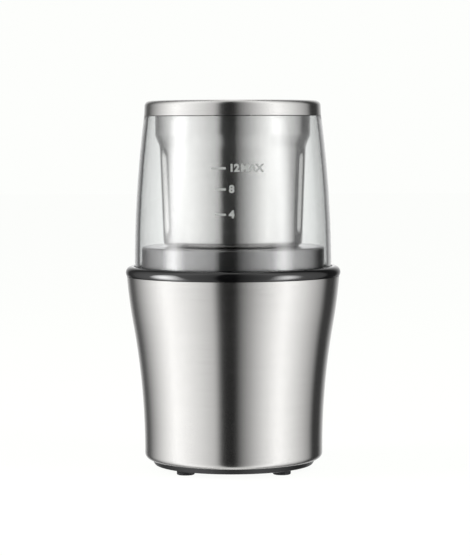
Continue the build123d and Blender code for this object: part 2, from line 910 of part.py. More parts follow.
def base_shell():
    """Brushed steel shell with a rolled lower edge and a hole for the cord inlet."""
    shell = spun_sheet(shell_path(), shell_wall)
    hole = Cylinder(inlet_neck + fit_gap, shell_foot_radius * 2, align=up)
    return shell - Pos(0, 0, inlet_z) * Rot(-90, 0, 0) * hole


def cord_inlet():
    """Grommet for the cord, whose flange follows the shell."""
    crown_y = shell_foot_radius
    end_y = crown_y + inlet_flange_height
    start_y = crown_y - inlet_depth
    collar_y = sqrt((shell_foot_radius - shell_wall) ** 2 - inlet_collar**2) - slide_gap
    back_y = sqrt(shell_foot_radius**2 - inlet_flange**2) - overrun
    flange = Pos(0, 0, back_y) * Cylinder(inlet_flange, end_y - back_y, align=up)
    flange = fillet(flange.edges().group_by(Axis.Z)[-1], inlet_round)
    flange = Pos(0, 0, inlet_z) * Rot(-90, 0, 0) * flange - spun_solid(shell_path())
    neck = Pos(0, 0, start_y) * Cylinder(inlet_neck, end_y - inlet_round - start_y, align=up)
    collar = Pos(0, 0, start_y) * Cylinder(inlet_collar, collar_y - start_y, align=up)
    bore = Pos(0, 0, start_y - overrun) * Cylinder(inlet_bore, inlet_depth * 2 + overrun, align=up)
    barrel = Pos(0, 0, inlet_z) * Rot(-90, 0, 0) * (neck + collar)
    return flange + barrel - Pos(0, 0, inlet_z) * Rot(-90, 0, 0) * bore


def bottom_cover():
    """Black cover with vents under the fan, seats for the feet and sunk screws."""
    rim_radius = shell_flat_radius - 2 * fit_gap
    wall_radius = shell_lip_radius - slide_gap
    wall_top_z = shell_bottom_z + cover_wall_height
    under = FilletPolyline(
        (0, cover_bottom_z),
        (rim_radius - cover_taper, cover_bottom_z),
        (rim_radius, shell_bottom_z),
        radius=cover_edge,
    )
    inside = Polyline(
        under @ 1,
        (wall_radius, shell_bottom_z),
        (wall_radius, wall_top_z),
        (wall_radius - cover_wall, wall_top_z),
        (wall_radius - cover_wall, cover_top_z),
        (0, cover_top_z),
        under @ 0,
    )
    vent = Pos(vent_circle, 0, cover_bottom_z - overrun) * extrude(
        SlotOverall(vent_length, vent_width), cover_floor + 2 * overrun
    )
    pillar = round_bar(pillar_radius, cover_bottom_z, pillar_top_z)
    head_pocket = round_bar(
        cover_head_radius + slide_gap, cover_bottom_z - overrun, pillar_top_z - cover_head_floor
    )
    screw_hole = round_bar(cover_screw_radius + fit_gap, cover_bottom_z, pillar_top_z + overrun)
    foot_pocket = round_bar(foot_radius + fit_gap, cover_bottom_z - overrun, cover_bottom_z + foot_seat)
    cover = lathe(under, inside)
    cover += around_at(pillar, cover_screw_circle, cover_screw_count, cover_screw_angle)
    cover -= around_at(head_pocket + screw_hole, cover_screw_circle, cover_screw_count, cover_screw_angle)
    cover -= around(vent, vent_count)
    return cover - around_at(foot_pocket, foot_circle, foot_count, foot_angle)


def feet():
    """Rubber feet seated in the cover."""
    foot = round_bar(foot_radius, 0, foot_proud + foot_seat)
    foot = fillet(foot.edges().group_by(Axis.Z)[0], foot_edge)
    return around_at(foot, foot_circle, foot_count, foot_angle)


def cover_screws():
    """Screws from below through the cover into the deck's bosses."""
    head_top_z = pillar_top_z - cover_head_floor
    head = round_bar(cover_head_radius, head_top_z - cover_head_height, head_top_z)
    shank = round_bar(cover_screw_radius, head_top_z, pillar_top_z + cover_screw_length - overrun)
    return around_at(head + shank, cover_screw_circle, cover_screw_count, cover_screw_angle)


def arm(reach, width, bottom):
    """Flat bracket arm along +X with a round pad at its end."""
    beam = Pos(0, 0, bottom) * Box(reach, width, bracket_sheet, align=(Align.MIN, Align.CENTER, Align.MIN))
    pad = Pos(reach, 0, 0) * round_bar(bracket_pad_radius, bottom, bottom + bracket_sheet)
    return beam + pad


def bracket(bottom, post_bottom, post_top, bearing_bottom):
    """Spider with a bearing boss and the posts that clamp the stator, before its own arms."""
    hub = round_bar(bracket_hub_radius, bottom, bottom + bracket_sheet)
    boss = round_bar(bearing_boss_radius, bearing_bottom, bearing_bottom + bearing_length)
    post = round_bar(post_radius, post_bottom, post_top)
    spider = hub + boss + around(arm(post_centre_radius, bracket_arm, bottom), post_count, post_angle)
    return spider + around_at(post, post_centre_radius, post_count, post_angle)


def bracket_bores(bottom, top, bearing_bottom):
    """Bores for bearing and through bolts."""
    bolt = round_bar(bolt_radius + bolt_gap, bottom - overrun, top + overrun)
    bearing_top = bearing_bottom + bearing_length
    seat = round_bar(bearing_radius + fit_gap, bearing_bottom - overrun, bearing_top + overrun)
    return around_at(bolt, post_centre_radius, post_count, post_angle) + [seat]


def holder_size():
    """Outside width and height of a brush holder."""
    wall = 2 * (holder_wall + brush_slide_gap)
    return brush_width + wall, brush_height + wall


def motor_lower_bracket():
    """Lower bracket with pads for the brush holders."""
    width, height = holder_size()
    top_z = lower_bracket_z + bracket_sheet
    pad_reach = holder_outer_end - bearing_boss_radius
    pad_height = brush_z - height / 2 - lower_bracket_z
    pad = Pos(bearing_boss_radius, 0, lower_bracket_z) * Box(
        pad_reach, width, bracket_sheet, align=(Align.MIN, Align.CENTER, Align.MIN)
    )
    block_start = holder_outer_end - bracket_arm
    block = Pos(block_start, 0, lower_bracket_z) * Box(
        bracket_arm, width, pad_height, align=(Align.MIN, Align.CENTER, Align.MIN)
    )
    spider = bracket(lower_bracket_z, top_z, stator_bottom_z, lower_bearing_z)
    spider += around(pad + block, 2)
    return spider - bracket_bores(lower_bracket_z, stator_bottom_z, lower_bearing_z)


def motor_upper_bracket():
    """Upper bracket, which hangs the motor from the deck by three longer arms."""
    top_z = upper_bracket_z + bracket_sheet
    spider = bracket(upper_bracket_z, stator_top_z, upper_bracket_z, upper_bearing_z)
    spider += around(arm(mount_circle, bracket_arm, upper_bracket_z), mount_count, mount_angle)
    hole = round_bar(mount_screw_radius + bolt_gap, upper_bracket_z - overrun, top_z + overrun)
    spider -= around_at(hole, mount_circle, mount_count, mount_angle)
    return spider - bracket_bores(stator_top_z, top_z, upper_bearing_z)


def motor_bolts():
    """Through bolts that clamp the stator between the brackets."""
    top_z = upper_bracket_z + bracket_sheet
    shank = round_bar(bolt_radius, lower_bracket_z, top_z)
    head = round_bar(bolt_head_radius, lower_bracket_z - bolt_head_height, lower_bracket_z)
    nut = hexagon(2 * bolt_head_radius, top_z, top_z + bolt_head_height)
    return around_at(shank + head + nut, post_centre_radius, post_count, post_angle)


def motor_dampers():
    """Rubber rings between the upper bracket and the deck's bosses."""
    ring = tube(damper_radius, mount_screw_radius + bolt_gap, damper_bottom_z, damper_top_z)
    return around_at(ring, mount_circle, mount_count, mount_angle)


def damper_screws():
    """Screws through bracket and dampers into the deck's bosses."""
    head = round_bar(mount_head_radius, upper_bracket_z - mount_head_height, upper_bracket_z)
    shank = round_bar(mount_screw_radius, upper_bracket_z, damper_bottom_z + mount_screw_length - overrun)
    return around_at(head + shank, mount_circle, mount_count, mount_angle)


def bearing(bottom):
    """Plain bearing in a bracket's boss."""
    return tube(bearing_radius, shaft_radius + running_gap, bottom, bottom + bearing_length)


def stator_core():
    """Laminated stator with two poles, whose shoes face the armature."""
    height = 2 * stator_radius
    ring = Circle(stator_radius) - Circle(yoke_inner_radius)
    necks = Rectangle(pole_width, height) & Circle(yoke_inner_radius + yoke / 2)
    shoes = Circle(stator_bore + shoe) & Rectangle(shoe_width, height)
    outline = ring + necks + shoes - Circle(stator_bore)
    holes = PolarLocations(post_centre_radius, post_count, post_angle) * Circle(bolt_radius + bolt_gap)
    return Pos(0, 0, stator_bottom_z) * extrude(outline - holes, stack_height)


def field_coils():
    """Two field coils, each wound round one pole between shoe and yoke."""
    ring = Circle(yoke_inner_radius - coil_gap) - Circle(stator_bore + shoe + coil_gap)
    window = Box(pole_width + 2 * coil_gap, 2 * stator_radius, stack_height + 2 * coil_gap, align=up)
    both = extrude(ring & Rectangle(coil_width, 2 * stator_radius), stack_height + 2 * coil_overhang)
    both = Pos(0, 0, stator_bottom_z - coil_overhang) * both
    return (both - Pos(0, 0, stator_bottom_z - coil_gap) * window).solids()


def carbon_brushes():
    """Pair of brushes that press on the commutator."""
    start = commutator_radius + brush_gap
    brush = Pos(start, 0, brush_z) * Box(brush_length, brush_width, brush_height, align=outwards)
    return around(brush, 2)


def brush_holders():
    """Pair of brush holders on the lower bracket, closed at their outer ends."""
    width, height = holder_size()
    length = holder_outer_end - holder_inner_end
    case = Pos(holder_inner_end, 0, brush_z) * Box(length, width, height, align=outwards)
    hollow = Box(
        length + overrun - holder_wall,
        brush_width + 2 * brush_slide_gap,
        brush_height + 2 * brush_slide_gap,
        align=outwards,
    )
    return around(case - Pos(holder_inner_end - overrun, 0, brush_z) * hollow, 2)


def brush_springs():
    """Springs that push the brushes in."""
    start = commutator_radius + brush_gap + brush_length + brush_spring_wire / 2 + fit_gap
    end = holder_outer_end - holder_wall - brush_spring_wire / 2 - fit_gap
    pitch = (end - start) / brush_spring_turns
    winding = coil(brush_spring_radius, brush_spring_wire, pitch, brush_spring_turns)
    return around(Pos(start, 0, brush_z) * Rot(0, 90, 0) * winding, 2)


def motor_shaft():
    """Shaft from the fan up to the coupling."""
    return round_bar(shaft_radius, fan_bottom_z, drive_top_z)


def armature_core():
    """Laminated armature with slots for its winding."""
    slot = Circle(slot_radius) + Pos(armature_radius - slot_centre_radius, 0) * Rectangle(
        2 * (armature_radius - slot_centre_radius), slot_mouth
    )
    outline = Circle(armature_radius) - Circle(shaft_radius + fit_gap)
    outline -= PolarLocations(slot_centre_radius, slot_count) * slot
    return Pos(0, 0, stator_bottom_z) * extrude(outline, stack_height)


def armature_winding():
    """Rounded heads of the armature's winding, at both ends of its core."""
    head = tube(winding_outer, winding_inner, 0, winding_overhang)
    head = fillet(head.edges().group_by(Axis.Z)[-1], winding_round)
    lower = Pos(0, 0, stator_bottom_z) * Rot(180, 0, 0) * head
    return [Pos(0, 0, stator_top_z) * head, lower]


def commutator():
    """Copper drum with a riser ring, cut into bars."""
    drum = tube(commutator_radius, shaft_radius + fit_gap, commutator_bottom_z, commutator_top_z)
    riser = tube(
        commutator_riser_radius,
        shaft_radius + fit_gap,
        commutator_top_z - commutator_riser,
        commutator_top_z,
    )
    length = commutator_top_z - commutator_bottom_z + 2 * overrun
    reach = commutator_riser_radius - commutator_radius + commutator_groove_depth + overrun
    groove = Pos(commutator_radius - commutator_groove_depth, 0, commutator_bottom_z - overrun) * Box(
        reach, commutator_groove, length, align=(Align.MIN, Align.CENTER, Align.MIN)
    )
    return drum + riser - around(groove, slot_count)


def cooling_fan():
    """Fan on the shaft's lower end, with straight blades on a disc."""
    disc = round_bar(fan_radius, fan_top_z - fan_disc, fan_top_z)
    hub = round_bar(fan_hub_radius, fan_bottom_z, fan_top_z)
    vane = Pos(fan_hub_radius - fan_blade, 0, fan_bottom_z) * Box(
        fan_radius - fan_hub_radius, fan_blade, fan_height, align=(Align.MIN, Align.CENTER, Align.MIN)
    )
    bore = round_bar(shaft_radius + fit_gap, fan_bottom_z - overrun, fan_top_z + overrun)
    return disc + hub + around(vane, fan_blade_count) - bore


def switch_plunger():
    """Plunger under the lid's edge, with an arm that reaches over the switch."""
    top_z = lid_bottom_z - plunger_lid_gap
    pin = round_bar(plunger_radius, arm_bottom_z, top_z)
    pin = fillet(pin.edges().group_by(Axis.Z)[-1], plunger_radius / 2)
    reach = plunger_circle - switch_circle + button_width
    plate = Pos(0, 0, arm_bottom_z) * Box(
        reach, plunger_arm_width, plunger_arm_sheet, align=(Align.MAX, Align.CENTER, Align.MIN)
    )
    heel = round_bar(plunger_arm_width / 2, arm_bottom_z, arm_top_z)
    return Pos(plunger_circle, 0, 0) * (pin + plate + heel)


def switch_bores(radius):
    """Bores through the switch for its two screws."""
    bore = Rot(0, 90, 0) * Cylinder(radius, 2 * switch_circle)
    height = switch_bottom_z + switch_hole_rise
    places = [-switch_hole_pitch / 2, switch_hole_pitch / 2]
    return [Pos(switch_circle, place - switch_offset, height) * bore for place in places]


def switch_rib_plate():
    """Rib under the deck that the switch is screwed to."""
    outer = switch_circle - switch_sheet / 2
    bottom = switch_bottom_z
    return Pos(outer, -switch_offset, bottom) * Box(
        switch_rib, switch_rib_width, deck_under_z - bottom, align=(Align.MAX, Align.CENTER, Align.MIN)
    )


def button_well():
    """Space that the switch leaves for its button."""
    return Box(
        button_width + 2 * button_slide_gap,
        button_length + 2 * button_slide_gap,
        2 * (button_depth + button_travel + button_slide_gap),
    )


def microswitch():
    """Small switch that the plunger works."""
    body = Pos(switch_circle, -switch_offset, switch_bottom_z) * Box(
        switch_sheet, switch_width, switch_height, align=up
    )
    body -= Pos(switch_circle, 0, switch_top_z) * button_well()
    return body - switch_bores(switch_screw_radius + fit_gap)


def switch_button():
    """Button in the switch's top."""
    height = button_proud + button_depth
    return Pos(switch_circle, 0, switch_top_z - button_depth) * Box(
        button_width, button_length, height, align=up
    )


def switch_terminals():
    """Blades under the switch that take the leads."""
    blade_tab = Pos(0, 0, switch_bottom_z) * Box(
        terminal_sheet, terminal_width, terminal_length, align=(Align.CENTER, Align.CENTER, Align.MAX)
    )
    places = [terminal_pitch * (step - (terminal_count - 1) / 2) for step in range(terminal_count)]
    return [Pos(switch_circle, place - switch_offset, 0) * blade_tab for place in places]


def switch_screws():
    """Screws through the switch into the deck's rib."""
    face = switch_circle + switch_sheet / 2
    length = switch_sheet + switch_rib
    shank = Pos(-length, 0, 0) * Rot(0, 90, 0) * Cylinder(switch_screw_radius, length, align=up)
    head = Rot(0, 90, 0) * Cylinder(switch_screw_head_radius, switch_screw_head, align=up)
    height = switch_bottom_z + switch_hole_rise
    places = [-switch_hole_pitch / 2, switch_hole_pitch / 2]
    return [Pos(face, place - switch_offset, height) * (shank + head) for place in places]


pieces = {
    "lid_shell": lid_shell(),
    "lid_cap": lid_cap(),
    "cap_carrier": cap_carrier(),
    "seal_plate": seal_plate(),
    "bowl_seal": bowl_seal(),
    "lid_spring": lid_spring(),
    "bowl_shell": bowl_shell(),
    "bowl_skirt": bowl_skirt(),
    "bowl_core": bowl_core(),
    "bowl_bush": bowl_bush(),
    "floor_gasket": tube(bush_flange_radius, bush_radius + fit_gap, bowl_floor_z, flange_bottom_z),
    "clamp_nut": clamp_nut(),
    "shaft_seal": shaft_seal(),
    "blade_shaft": blade_shaft(),
    "blade": blade(),
    "blade_spacer": blade_spacer(),
    "blade_nut": blade_nut(),
    "shaft_retainer": shaft_retainer(),
    "driven_coupling": driven_coupling(),
    "drive_coupling": drive_coupling(),
    "collar_ring": collar_ring(),
    "top_deck": top_deck(),
    "well_seal": well_seal(),
    "base_shell": base_shell(),
    "cord_inlet": cord_inlet(),
    "bottom_cover": bottom_cover(),
    "feet": feet(),
    "cover_screws": cover_screws(),
    "motor_lower_bracket": motor_lower_bracket(),
    "motor_upper_bracket": motor_upper_bracket(),
    "motor_bolts": motor_bolts(),
    "motor_dampers": motor_dampers(),
    "damper_screws": damper_screws(),
    "lower_bearing": bearing(lower_bearing_z),
    "upper_bearing": bearing(upper_bearing_z),
    "stator_core": stator_core(),
    "field_coils": field_coils(),
    "carbon_brushes": carbon_brushes(),
    "brush_holders": brush_holders(),
    "brush_springs": brush_springs(),
    "motor_shaft": motor_shaft(),
    "armature_core": armature_core(),
    "armature_winding": armature_winding(),
    "commutator": commutator(),
    "cooling_fan": cooling_fan(),
    "switch_plunger": switch_plunger(),
    "microswitch": microswitch(),
    "switch_button": switch_button(),
    "switch_terminals": switch_terminals(),
    "switch_screws": switch_screws(),
}

os.makedirs("parts", exist_ok=True)
for name, piece in pieces.items():
    solids = list(piece) if isinstance(piece, list) else piece.solids()
    export_step(Compound(solids) if len(solids) > 1 else solids[0], f"parts/{name}.step")
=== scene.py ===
"""Wet and dry grinder in brushed steel with a clear lid, dressed for a studio picture."""

import math

import bpy
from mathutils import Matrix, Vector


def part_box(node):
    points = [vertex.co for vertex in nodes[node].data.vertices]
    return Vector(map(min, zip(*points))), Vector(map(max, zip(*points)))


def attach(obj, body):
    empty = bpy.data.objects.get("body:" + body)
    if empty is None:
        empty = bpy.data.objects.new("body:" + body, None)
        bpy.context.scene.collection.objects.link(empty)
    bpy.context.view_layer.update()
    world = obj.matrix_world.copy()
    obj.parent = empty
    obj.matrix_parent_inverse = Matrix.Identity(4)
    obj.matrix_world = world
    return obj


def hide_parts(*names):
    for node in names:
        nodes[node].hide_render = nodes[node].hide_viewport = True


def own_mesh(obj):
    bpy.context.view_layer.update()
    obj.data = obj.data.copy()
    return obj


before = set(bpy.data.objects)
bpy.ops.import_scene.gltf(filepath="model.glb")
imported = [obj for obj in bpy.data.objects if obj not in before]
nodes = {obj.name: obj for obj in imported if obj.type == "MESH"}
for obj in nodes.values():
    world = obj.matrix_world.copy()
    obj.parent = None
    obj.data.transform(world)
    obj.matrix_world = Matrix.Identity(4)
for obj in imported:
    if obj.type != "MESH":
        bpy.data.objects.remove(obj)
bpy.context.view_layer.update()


# Camera: a long lens, a little under the height of the cap, tilted down a few degrees.
# The grinder stands a touch to the left of the middle of the picture.
MM = 0.001
camera_distance = 1242
camera_height = 186.1
camera_aside = 1.3
camera_tilt = math.radians(3.648)
camera_roll = math.radians(0.2)
camera_lens = 143.6
camera_sensor = 36
camera_far = 50
bpy.ops.object.camera_add(
    location=(camera_aside * MM, -camera_distance * MM, camera_height * MM),
    rotation=(math.pi / 2 - camera_tilt, camera_roll, 0),
)
camera = bpy.context.object
camera.data.sensor_width = camera_sensor
camera.data.lens = camera_lens
camera.data.clip_end = camera_far
bpy.context.scene.camera = camera


# Feet: four moulded rubber studs pressed into pockets of the bottom cover.
# Each has a dished sole, so that only a ring of it meets the worktop.
def linear(code):
    """Linear colour of an sRGB hex code."""
    parts = [int(code[place : place + 2], 16) / 255 for place in (1, 3, 5)]
    return [part / 12.92 if part <= 0.04045 else ((part + 0.055) / 1.055) ** 2.4 for part in parts] + [1]


def add_node(material, kind, inputs=None, **settings):
    """Adds one node with its settings; an input takes a value or the socket that feeds it."""
    made = material.node_tree.nodes.new(kind)
    for name, value in settings.items():
        setattr(made, name, value)
    for socket, value in (inputs or {}).items():
        if isinstance(value, bpy.types.NodeSocket):
            material.node_tree.links.new(value, made.inputs[socket])
        else:
            made.inputs[socket].default_value = value
    return made


def start_material(name):
    """Empty node material and its output."""
    material = bpy.data.materials.new(name)
    material.use_nodes = True
    material.node_tree.nodes.clear()
    return material, add_node(material, "ShaderNodeOutputMaterial")


def moulded(name, colour, light_colour, roughness, grain, bump):
    """Moulded plastic or rubber: a fine eroded grain of a given size in mm, with a little cloudiness."""
    cloud_size = 25
    gloss_spread = 0.06
    material, output = start_material(name)
    place = add_node(material, "ShaderNodeTexCoord").outputs["Object"]
    fine = add_node(
        material,
        "ShaderNodeTexNoise",
        {"Vector": place, "Scale": 1 / (grain * MM), "Detail": 3, "Roughness": 0.6},
    )
    clouds = add_node(
        material, "ShaderNodeTexNoise", {"Vector": place, "Scale": 1 / (cloud_size * MM), "Detail": 2}
    )
    tone = add_node(
        material,
        "ShaderNodeMix",
        {"Factor": clouds.outputs["Fac"], "A": linear(colour), "B": linear(light_colour)},
        data_type="RGBA",
    )
    gloss = add_node(
        material,
        "ShaderNodeMapRange",
        {
            "Value": fine.outputs["Fac"],
            "To Min": roughness - gloss_spread,
            "To Max": roughness + gloss_spread,
        },
    )
    relief = add_node(
        material,
        "ShaderNodeBump",
        {"Height": fine.outputs["Fac"], "Strength": bump, "Distance": grain * MM / 2},
    )
    skin = add_node(
        material,
        "ShaderNodeBsdfPrincipled",
        {
            "Base Color": tone.outputs["Result"],
            "Roughness": gloss.outputs["Result"],
            "Normal": relief.outputs["Normal"],
            "IOR": 1.5,
        },
    )
    material.node_tree.links.new(skin.outputs["BSDF"], output.inputs["Surface"])
    return material


def paint(piece, material):
    """Gives a piece one material."""
    piece.data.materials.clear()
    piece.data.materials.append(material)


def draw_outline(name, corners):
    """Half outline of (radius, height) corners in mm, extruded from one point, left in edit mode."""
    bpy.ops.object.select_all(action="DESELECT")
    bpy.ops.mesh.primitive_plane_add(size=MM)
    piece = bpy.context.object
    piece.name = piece.data.name = name
    bpy.ops.object.mode_set(mode="EDIT")
    bpy.ops.mesh.merge(type="CENTER")
    bpy.ops.transform.translate(value=(corners[0][0] * MM, 0, corners[0][1] * MM))
    for (radius, height), (next_radius, next_height) in zip(corners, corners[1:]):
        step = ((next_radius - radius) * MM, 0, (next_height - height) * MM)
        bpy.ops.mesh.extrude_vertices_move(TRANSFORM_OT_translate={"value": step})
    return piece


smooth_angle = math.radians(35)


def spin_round(steps):
    """Spins the outline in edit mode about the grinder's axis, and leaves edit mode."""
    bpy.ops.mesh.select_all(action="SELECT")
    bpy.ops.mesh.spin(steps=steps, angle=2 * math.pi, center=(0, 0, 0), axis=(0, 0, 1))
    bpy.ops.mesh.select_all(action="SELECT")
    bpy.ops.mesh.remove_doubles(threshold=MM / 1000)
    bpy.ops.mesh.normals_make_consistent(inside=False)
    bpy.ops.object.mode_set(mode="OBJECT")
    bpy.ops.object.shade_smooth_by_angle(angle=smooth_angle)


def turned(name, corners, steps):
    """Piece turned from an outline; one that ends where it starts is a solid ring."""
    piece = draw_outline(name, corners)
    spin_round(steps)
    return piece


def arc(start, heading, end, count):
    """Points of the arc that leaves start in a direction and ends at end, without start itself."""
    span = (end[0] - start[0], end[1] - start[1])
    side = (-heading[1], heading[0])
    lean = span[0] * side[0] + span[1] * side[1]
    radius = (span[0] ** 2 + span[1] ** 2) / (2 * lean)
    centre = (start[0] + side[0] * radius, start[1] + side[1] * radius)
    first = math.atan2(start[1] - centre[1], start[0] - centre[0])
    sweep = math.atan2(end[1] - centre[1], end[0] - centre[0]) - first
    sweep = (sweep + math.pi) % (2 * math.pi) - math.pi
    turns = [first + sweep * step / count for step in range(1, count + 1)]
    size = abs(radius)
    return [(centre[0] + size * math.cos(turn), centre[1] + size * math.sin(turn)) for turn in turns]


def heading_after(start, heading, end):
    """Direction in which that arc arrives at its end."""
    before, last = arc(start, heading, end, 2000)[-2:]
    length = math.dist(before, last)
    return ((last[0] - before[0]) / length, (last[1] - before[1]) / length)


# Moulded rubber: nearly black and dull, with a soft light on its edges only.
rubber = moulded("moulded_black_rubber", "#17181a", "#1f2022", 0.62, 0.35, 0.25)
foot_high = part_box("feet")[1]
foot_radius = 5.0
foot_side = 4.95
foot_top = foot_high.z / MM - 0.05
foot_reach = foot_high.x / MM - foot_radius
sole_radius = 4.3
sole_round = 0.65
dish_radius = 2.8
dish_floor = 2.2
dish_depth = 0.5
sole_edge = arc((sole_radius, 0), (1, 0), (foot_side, sole_round), 5)
foot = turned(
    "rubber_feet",
    [
        (0, dish_depth),
        (dish_floor, dish_depth),
        (dish_radius, 0),
        (sole_radius, 0),
        *sole_edge,
        (foot_side, foot_top),
        (0, foot_top),
    ],
    64,
)
foot_corners = ((1, 1), (-1, 1), (-1, -1), (1, -1))
feet = [foot]
while len(feet) < len(foot_corners):
    stud = foot.copy()
    stud.data = foot.data.copy()
    bpy.context.collection.objects.link(stud)
    feet.append(stud)
for stud, (corner_x, corner_y) in zip(feet, foot_corners):
    stud.location = (corner_x * foot_reach * MM, corner_y * foot_reach * MM, 0)
bpy.ops.object.select_all(action="DESELECT")
for stud in feet:
    stud.select_set(True)
bpy.context.view_layer.objects.active = foot
bpy.ops.object.join()
bpy.ops.object.transform_apply(location=True, rotation=True, scale=True)
paint(foot, rubber)
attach(foot, "base")
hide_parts("feet")


# Bottom cover: black ABS moulding with vents under the fan, held from below by three screws.
# Its eroded tool leaves a fine even grain. The screws are zinc plated.
def machined(name, colour, roughness, spacing, axis_scale, variation=0.08):
    """Bare metal with fine tool or grinding lines; axis_scale squeezes the lines along X, Y and Z."""
    material, output = start_material(name)
    place = add_node(material, "ShaderNodeTexCoord").outputs["Object"]
    squeezed = add_node(material, "ShaderNodeMapping", {"Vector": place, "Scale": axis_scale})
    lines = add_node(
        material,
        "ShaderNodeTexNoise",
        {"Vector": squeezed.outputs["Vector"], "Scale": 1 / (spacing * MM), "Detail": 4, "Roughness": 0.65},
    )
    gloss = add_node(
        material,
        "ShaderNodeMapRange",
        {"Value": lines.outputs["Fac"], "To Min": roughness - variation, "To Max": roughness + variation},
    )
    relief = add_node(
        material,
        "ShaderNodeBump",
        {"Height": lines.outputs["Fac"], "Strength": 0.12, "Distance": spacing * MM / 4},
    )
    metal = add_node(
        material,
        "ShaderNodeBsdfPrincipled",
        {
            "Base Color": linear(colour),
            "Metallic": 1,
            "Roughness": gloss.outputs["Result"],
            "Normal": relief.outputs["Normal"],
        },
    )
    material.node_tree.links.new(metal.outputs["BSDF"], output.inputs["Surface"])
    return material


# Eroded ABS: black, with a low sheen that catches the light at its rim.
black_abs = moulded("eroded_black_abs", "#0f1011", "#131415", 0.32, 0.5, 0.2)
# Zinc plate: pale, warm and a little cloudy.
zinc_plate = machined("zinc_plated_steel", "#c4c1b6", 0.34, 0.4, (1, 1, 1))
paint(nodes["bottom_cover"], black_abs)
paint(nodes["cover_screws"], zinc_plate)


# Base shell: stainless sheet, spun to a flared tube with its lower edge rolled in under the base.
# It is brushed around its axis, so highlights smear up and down and stay crisp from side to side.
def brushed_steel(name, colour, roughness, anisotropic, streak, shine):
    """Stainless steel brushed around the axis; streak is the spacing of the brush lines in mm."""
    # Real brush lines are a few hundredths of a mm apart. They are drawn coarser, so that they show.
    along_brush = 0.02
    gloss_spread = 0.03
    line_depth = 0.05
    material, output = start_material(name)
    place = add_node(material, "ShaderNodeTexCoord").outputs["Object"]
    squeezed = add_node(
        material, "ShaderNodeMapping", {"Vector": place, "Scale": (along_brush, along_brush, 1)}
    )
    lines = add_node(
        material,
        "ShaderNodeTexNoise",
        {"Vector": squeezed.outputs["Vector"], "Scale": 1 / (streak * MM), "Detail": 5, "Roughness": 0.7},
    )
    tone = add_node(
        material,
        "ShaderNodeMapRange",
        {"Value": lines.outputs["Fac"], "From Min": 0.3, "From Max": 0.7, "To Min": 1 - shine, "To Max": 1},
    )
    tinted = add_node(
        material,
        "ShaderNodeMix",
        {"Factor": 1.0, "A": linear(colour), "B": tone.outputs["Result"]},
        data_type="RGBA",
        blend_type="MULTIPLY",
    )
    gloss = add_node(
        material,
        "ShaderNodeMapRange",
        {
            "Value": lines.outputs["Fac"],
            "To Min": roughness - gloss_spread,
            "To Max": roughness + gloss_spread,
        },
    )
    relief = add_node(
        material,
        "ShaderNodeBump",
        {"Height": lines.outputs["Fac"], "Strength": 0.03, "Distance": line_depth * MM},
    )
    around = add_node(material, "ShaderNodeTangent", direction_type="RADIAL", axis="Z")
    metal = add_node(
        material,
        "ShaderNodeBsdfPrincipled",
        {
            "Base Color": tinted.outputs["Result"],
            "Metallic": 1,
            "Roughness": gloss.outputs["Result"],
            "Anisotropic": anisotropic,
            "Anisotropic Rotation": 0.25,
            "Normal": relief.outputs["Normal"],
            "Tangent": around.outputs["Tangent"],
        },
    )
    material.node_tree.links.new(metal.outputs["BSDF"], output.inputs["Surface"])
    return material


def apply_modifier(piece, kind, **settings):
    """Adds a modifier with its settings and applies it."""
    bpy.ops.object.select_all(action="DESELECT")
    piece.select_set(True)
    bpy.context.view_layer.objects.active = piece
    modifier = piece.modifiers.new(kind.lower(), kind)
    for name, value in settings.items():
        setattr(modifier, name, value)
    bpy.ops.object.modifier_apply(modifier=modifier.name)


def thicken(piece, wall):
    """Gives a turned sheet its wall, inwards from its outside, in mm."""
    apply_modifier(piece, "SOLIDIFY", thickness=wall * MM, offset=-1, use_even_offset=True)
    bpy.ops.object.shade_smooth_by_angle(angle=smooth_angle)


shell_low, shell_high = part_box("base_shell")
ring_undercut = 0.8
shell_bottom = shell_low.z / MM
shell_top = shell_high.z / MM + ring_undercut
shell_top_radius = shell_high.x / MM
shell_foot_radius = 49.9
shell_corner = 3.5
shell_wall = 0.7
shell_lip = 1.4
shell_straight = 1.9
turn_height_share = 0.74
turn_radius_share = 0.6425
turn_height = shell_bottom + (shell_top - shell_bottom) * turn_height_share
turn_radius = shell_foot_radius + (shell_top_radius - shell_foot_radius) * turn_radius_share
flat_end = (shell_foot_radius - shell_corner, shell_bottom)
upright_start = (shell_foot_radius, shell_bottom + shell_corner)
flare_start = (shell_foot_radius, shell_bottom + shell_corner + shell_straight)
flare_turn = (turn_radius, turn_height)
flare_end = (shell_top_radius, shell_top)
flare_heading = heading_after(flare_start, (0, 1), flare_turn)
shell = turned(
    "brushed_base_shell",
    [
        (flat_end[0] - shell_lip, shell_bottom),
        flat_end,
        *arc(flat_end, (1, 0), upright_start, 10),
        flare_start,
        *arc(flare_start, (0, 1), flare_turn, 24),
        *arc(flare_turn, flare_heading, flare_end, 12),
    ],
    224,
)
thicken(shell, shell_wall)
inlet_low, inlet_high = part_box("cord_inlet")
inlet_height = (inlet_low.z + inlet_high.z) / 2
inlet_hole_radius = 5.45
drill_length = 20
bpy.ops.object.select_all(action="DESELECT")
bpy.ops.mesh.primitive_cylinder_add(
    vertices=64,
    radius=inlet_hole_radius * MM,
    depth=drill_length * MM,
    location=(0, shell_foot_radius * MM, inlet_height),
    rotation=(math.pi / 2, 0, 0),
)
drill = bpy.context.object
apply_modifier(shell, "BOOLEAN", object=drill, operation="DIFFERENCE", solver="EXACT")
bpy.data.objects.remove(drill)
bpy.ops.object.shade_smooth_by_angle(angle=smooth_angle)
# Brushed stainless steel: soft upright bands of light and dark, with fine lines round the axis.
shell_steel = brushed_steel("brushed_stainless_shell", "#d0cfcd", 0.26, 0.85, 0.9, 0.05)
paint(shell, shell_steel)
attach(shell, "base")
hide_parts("base_shell")


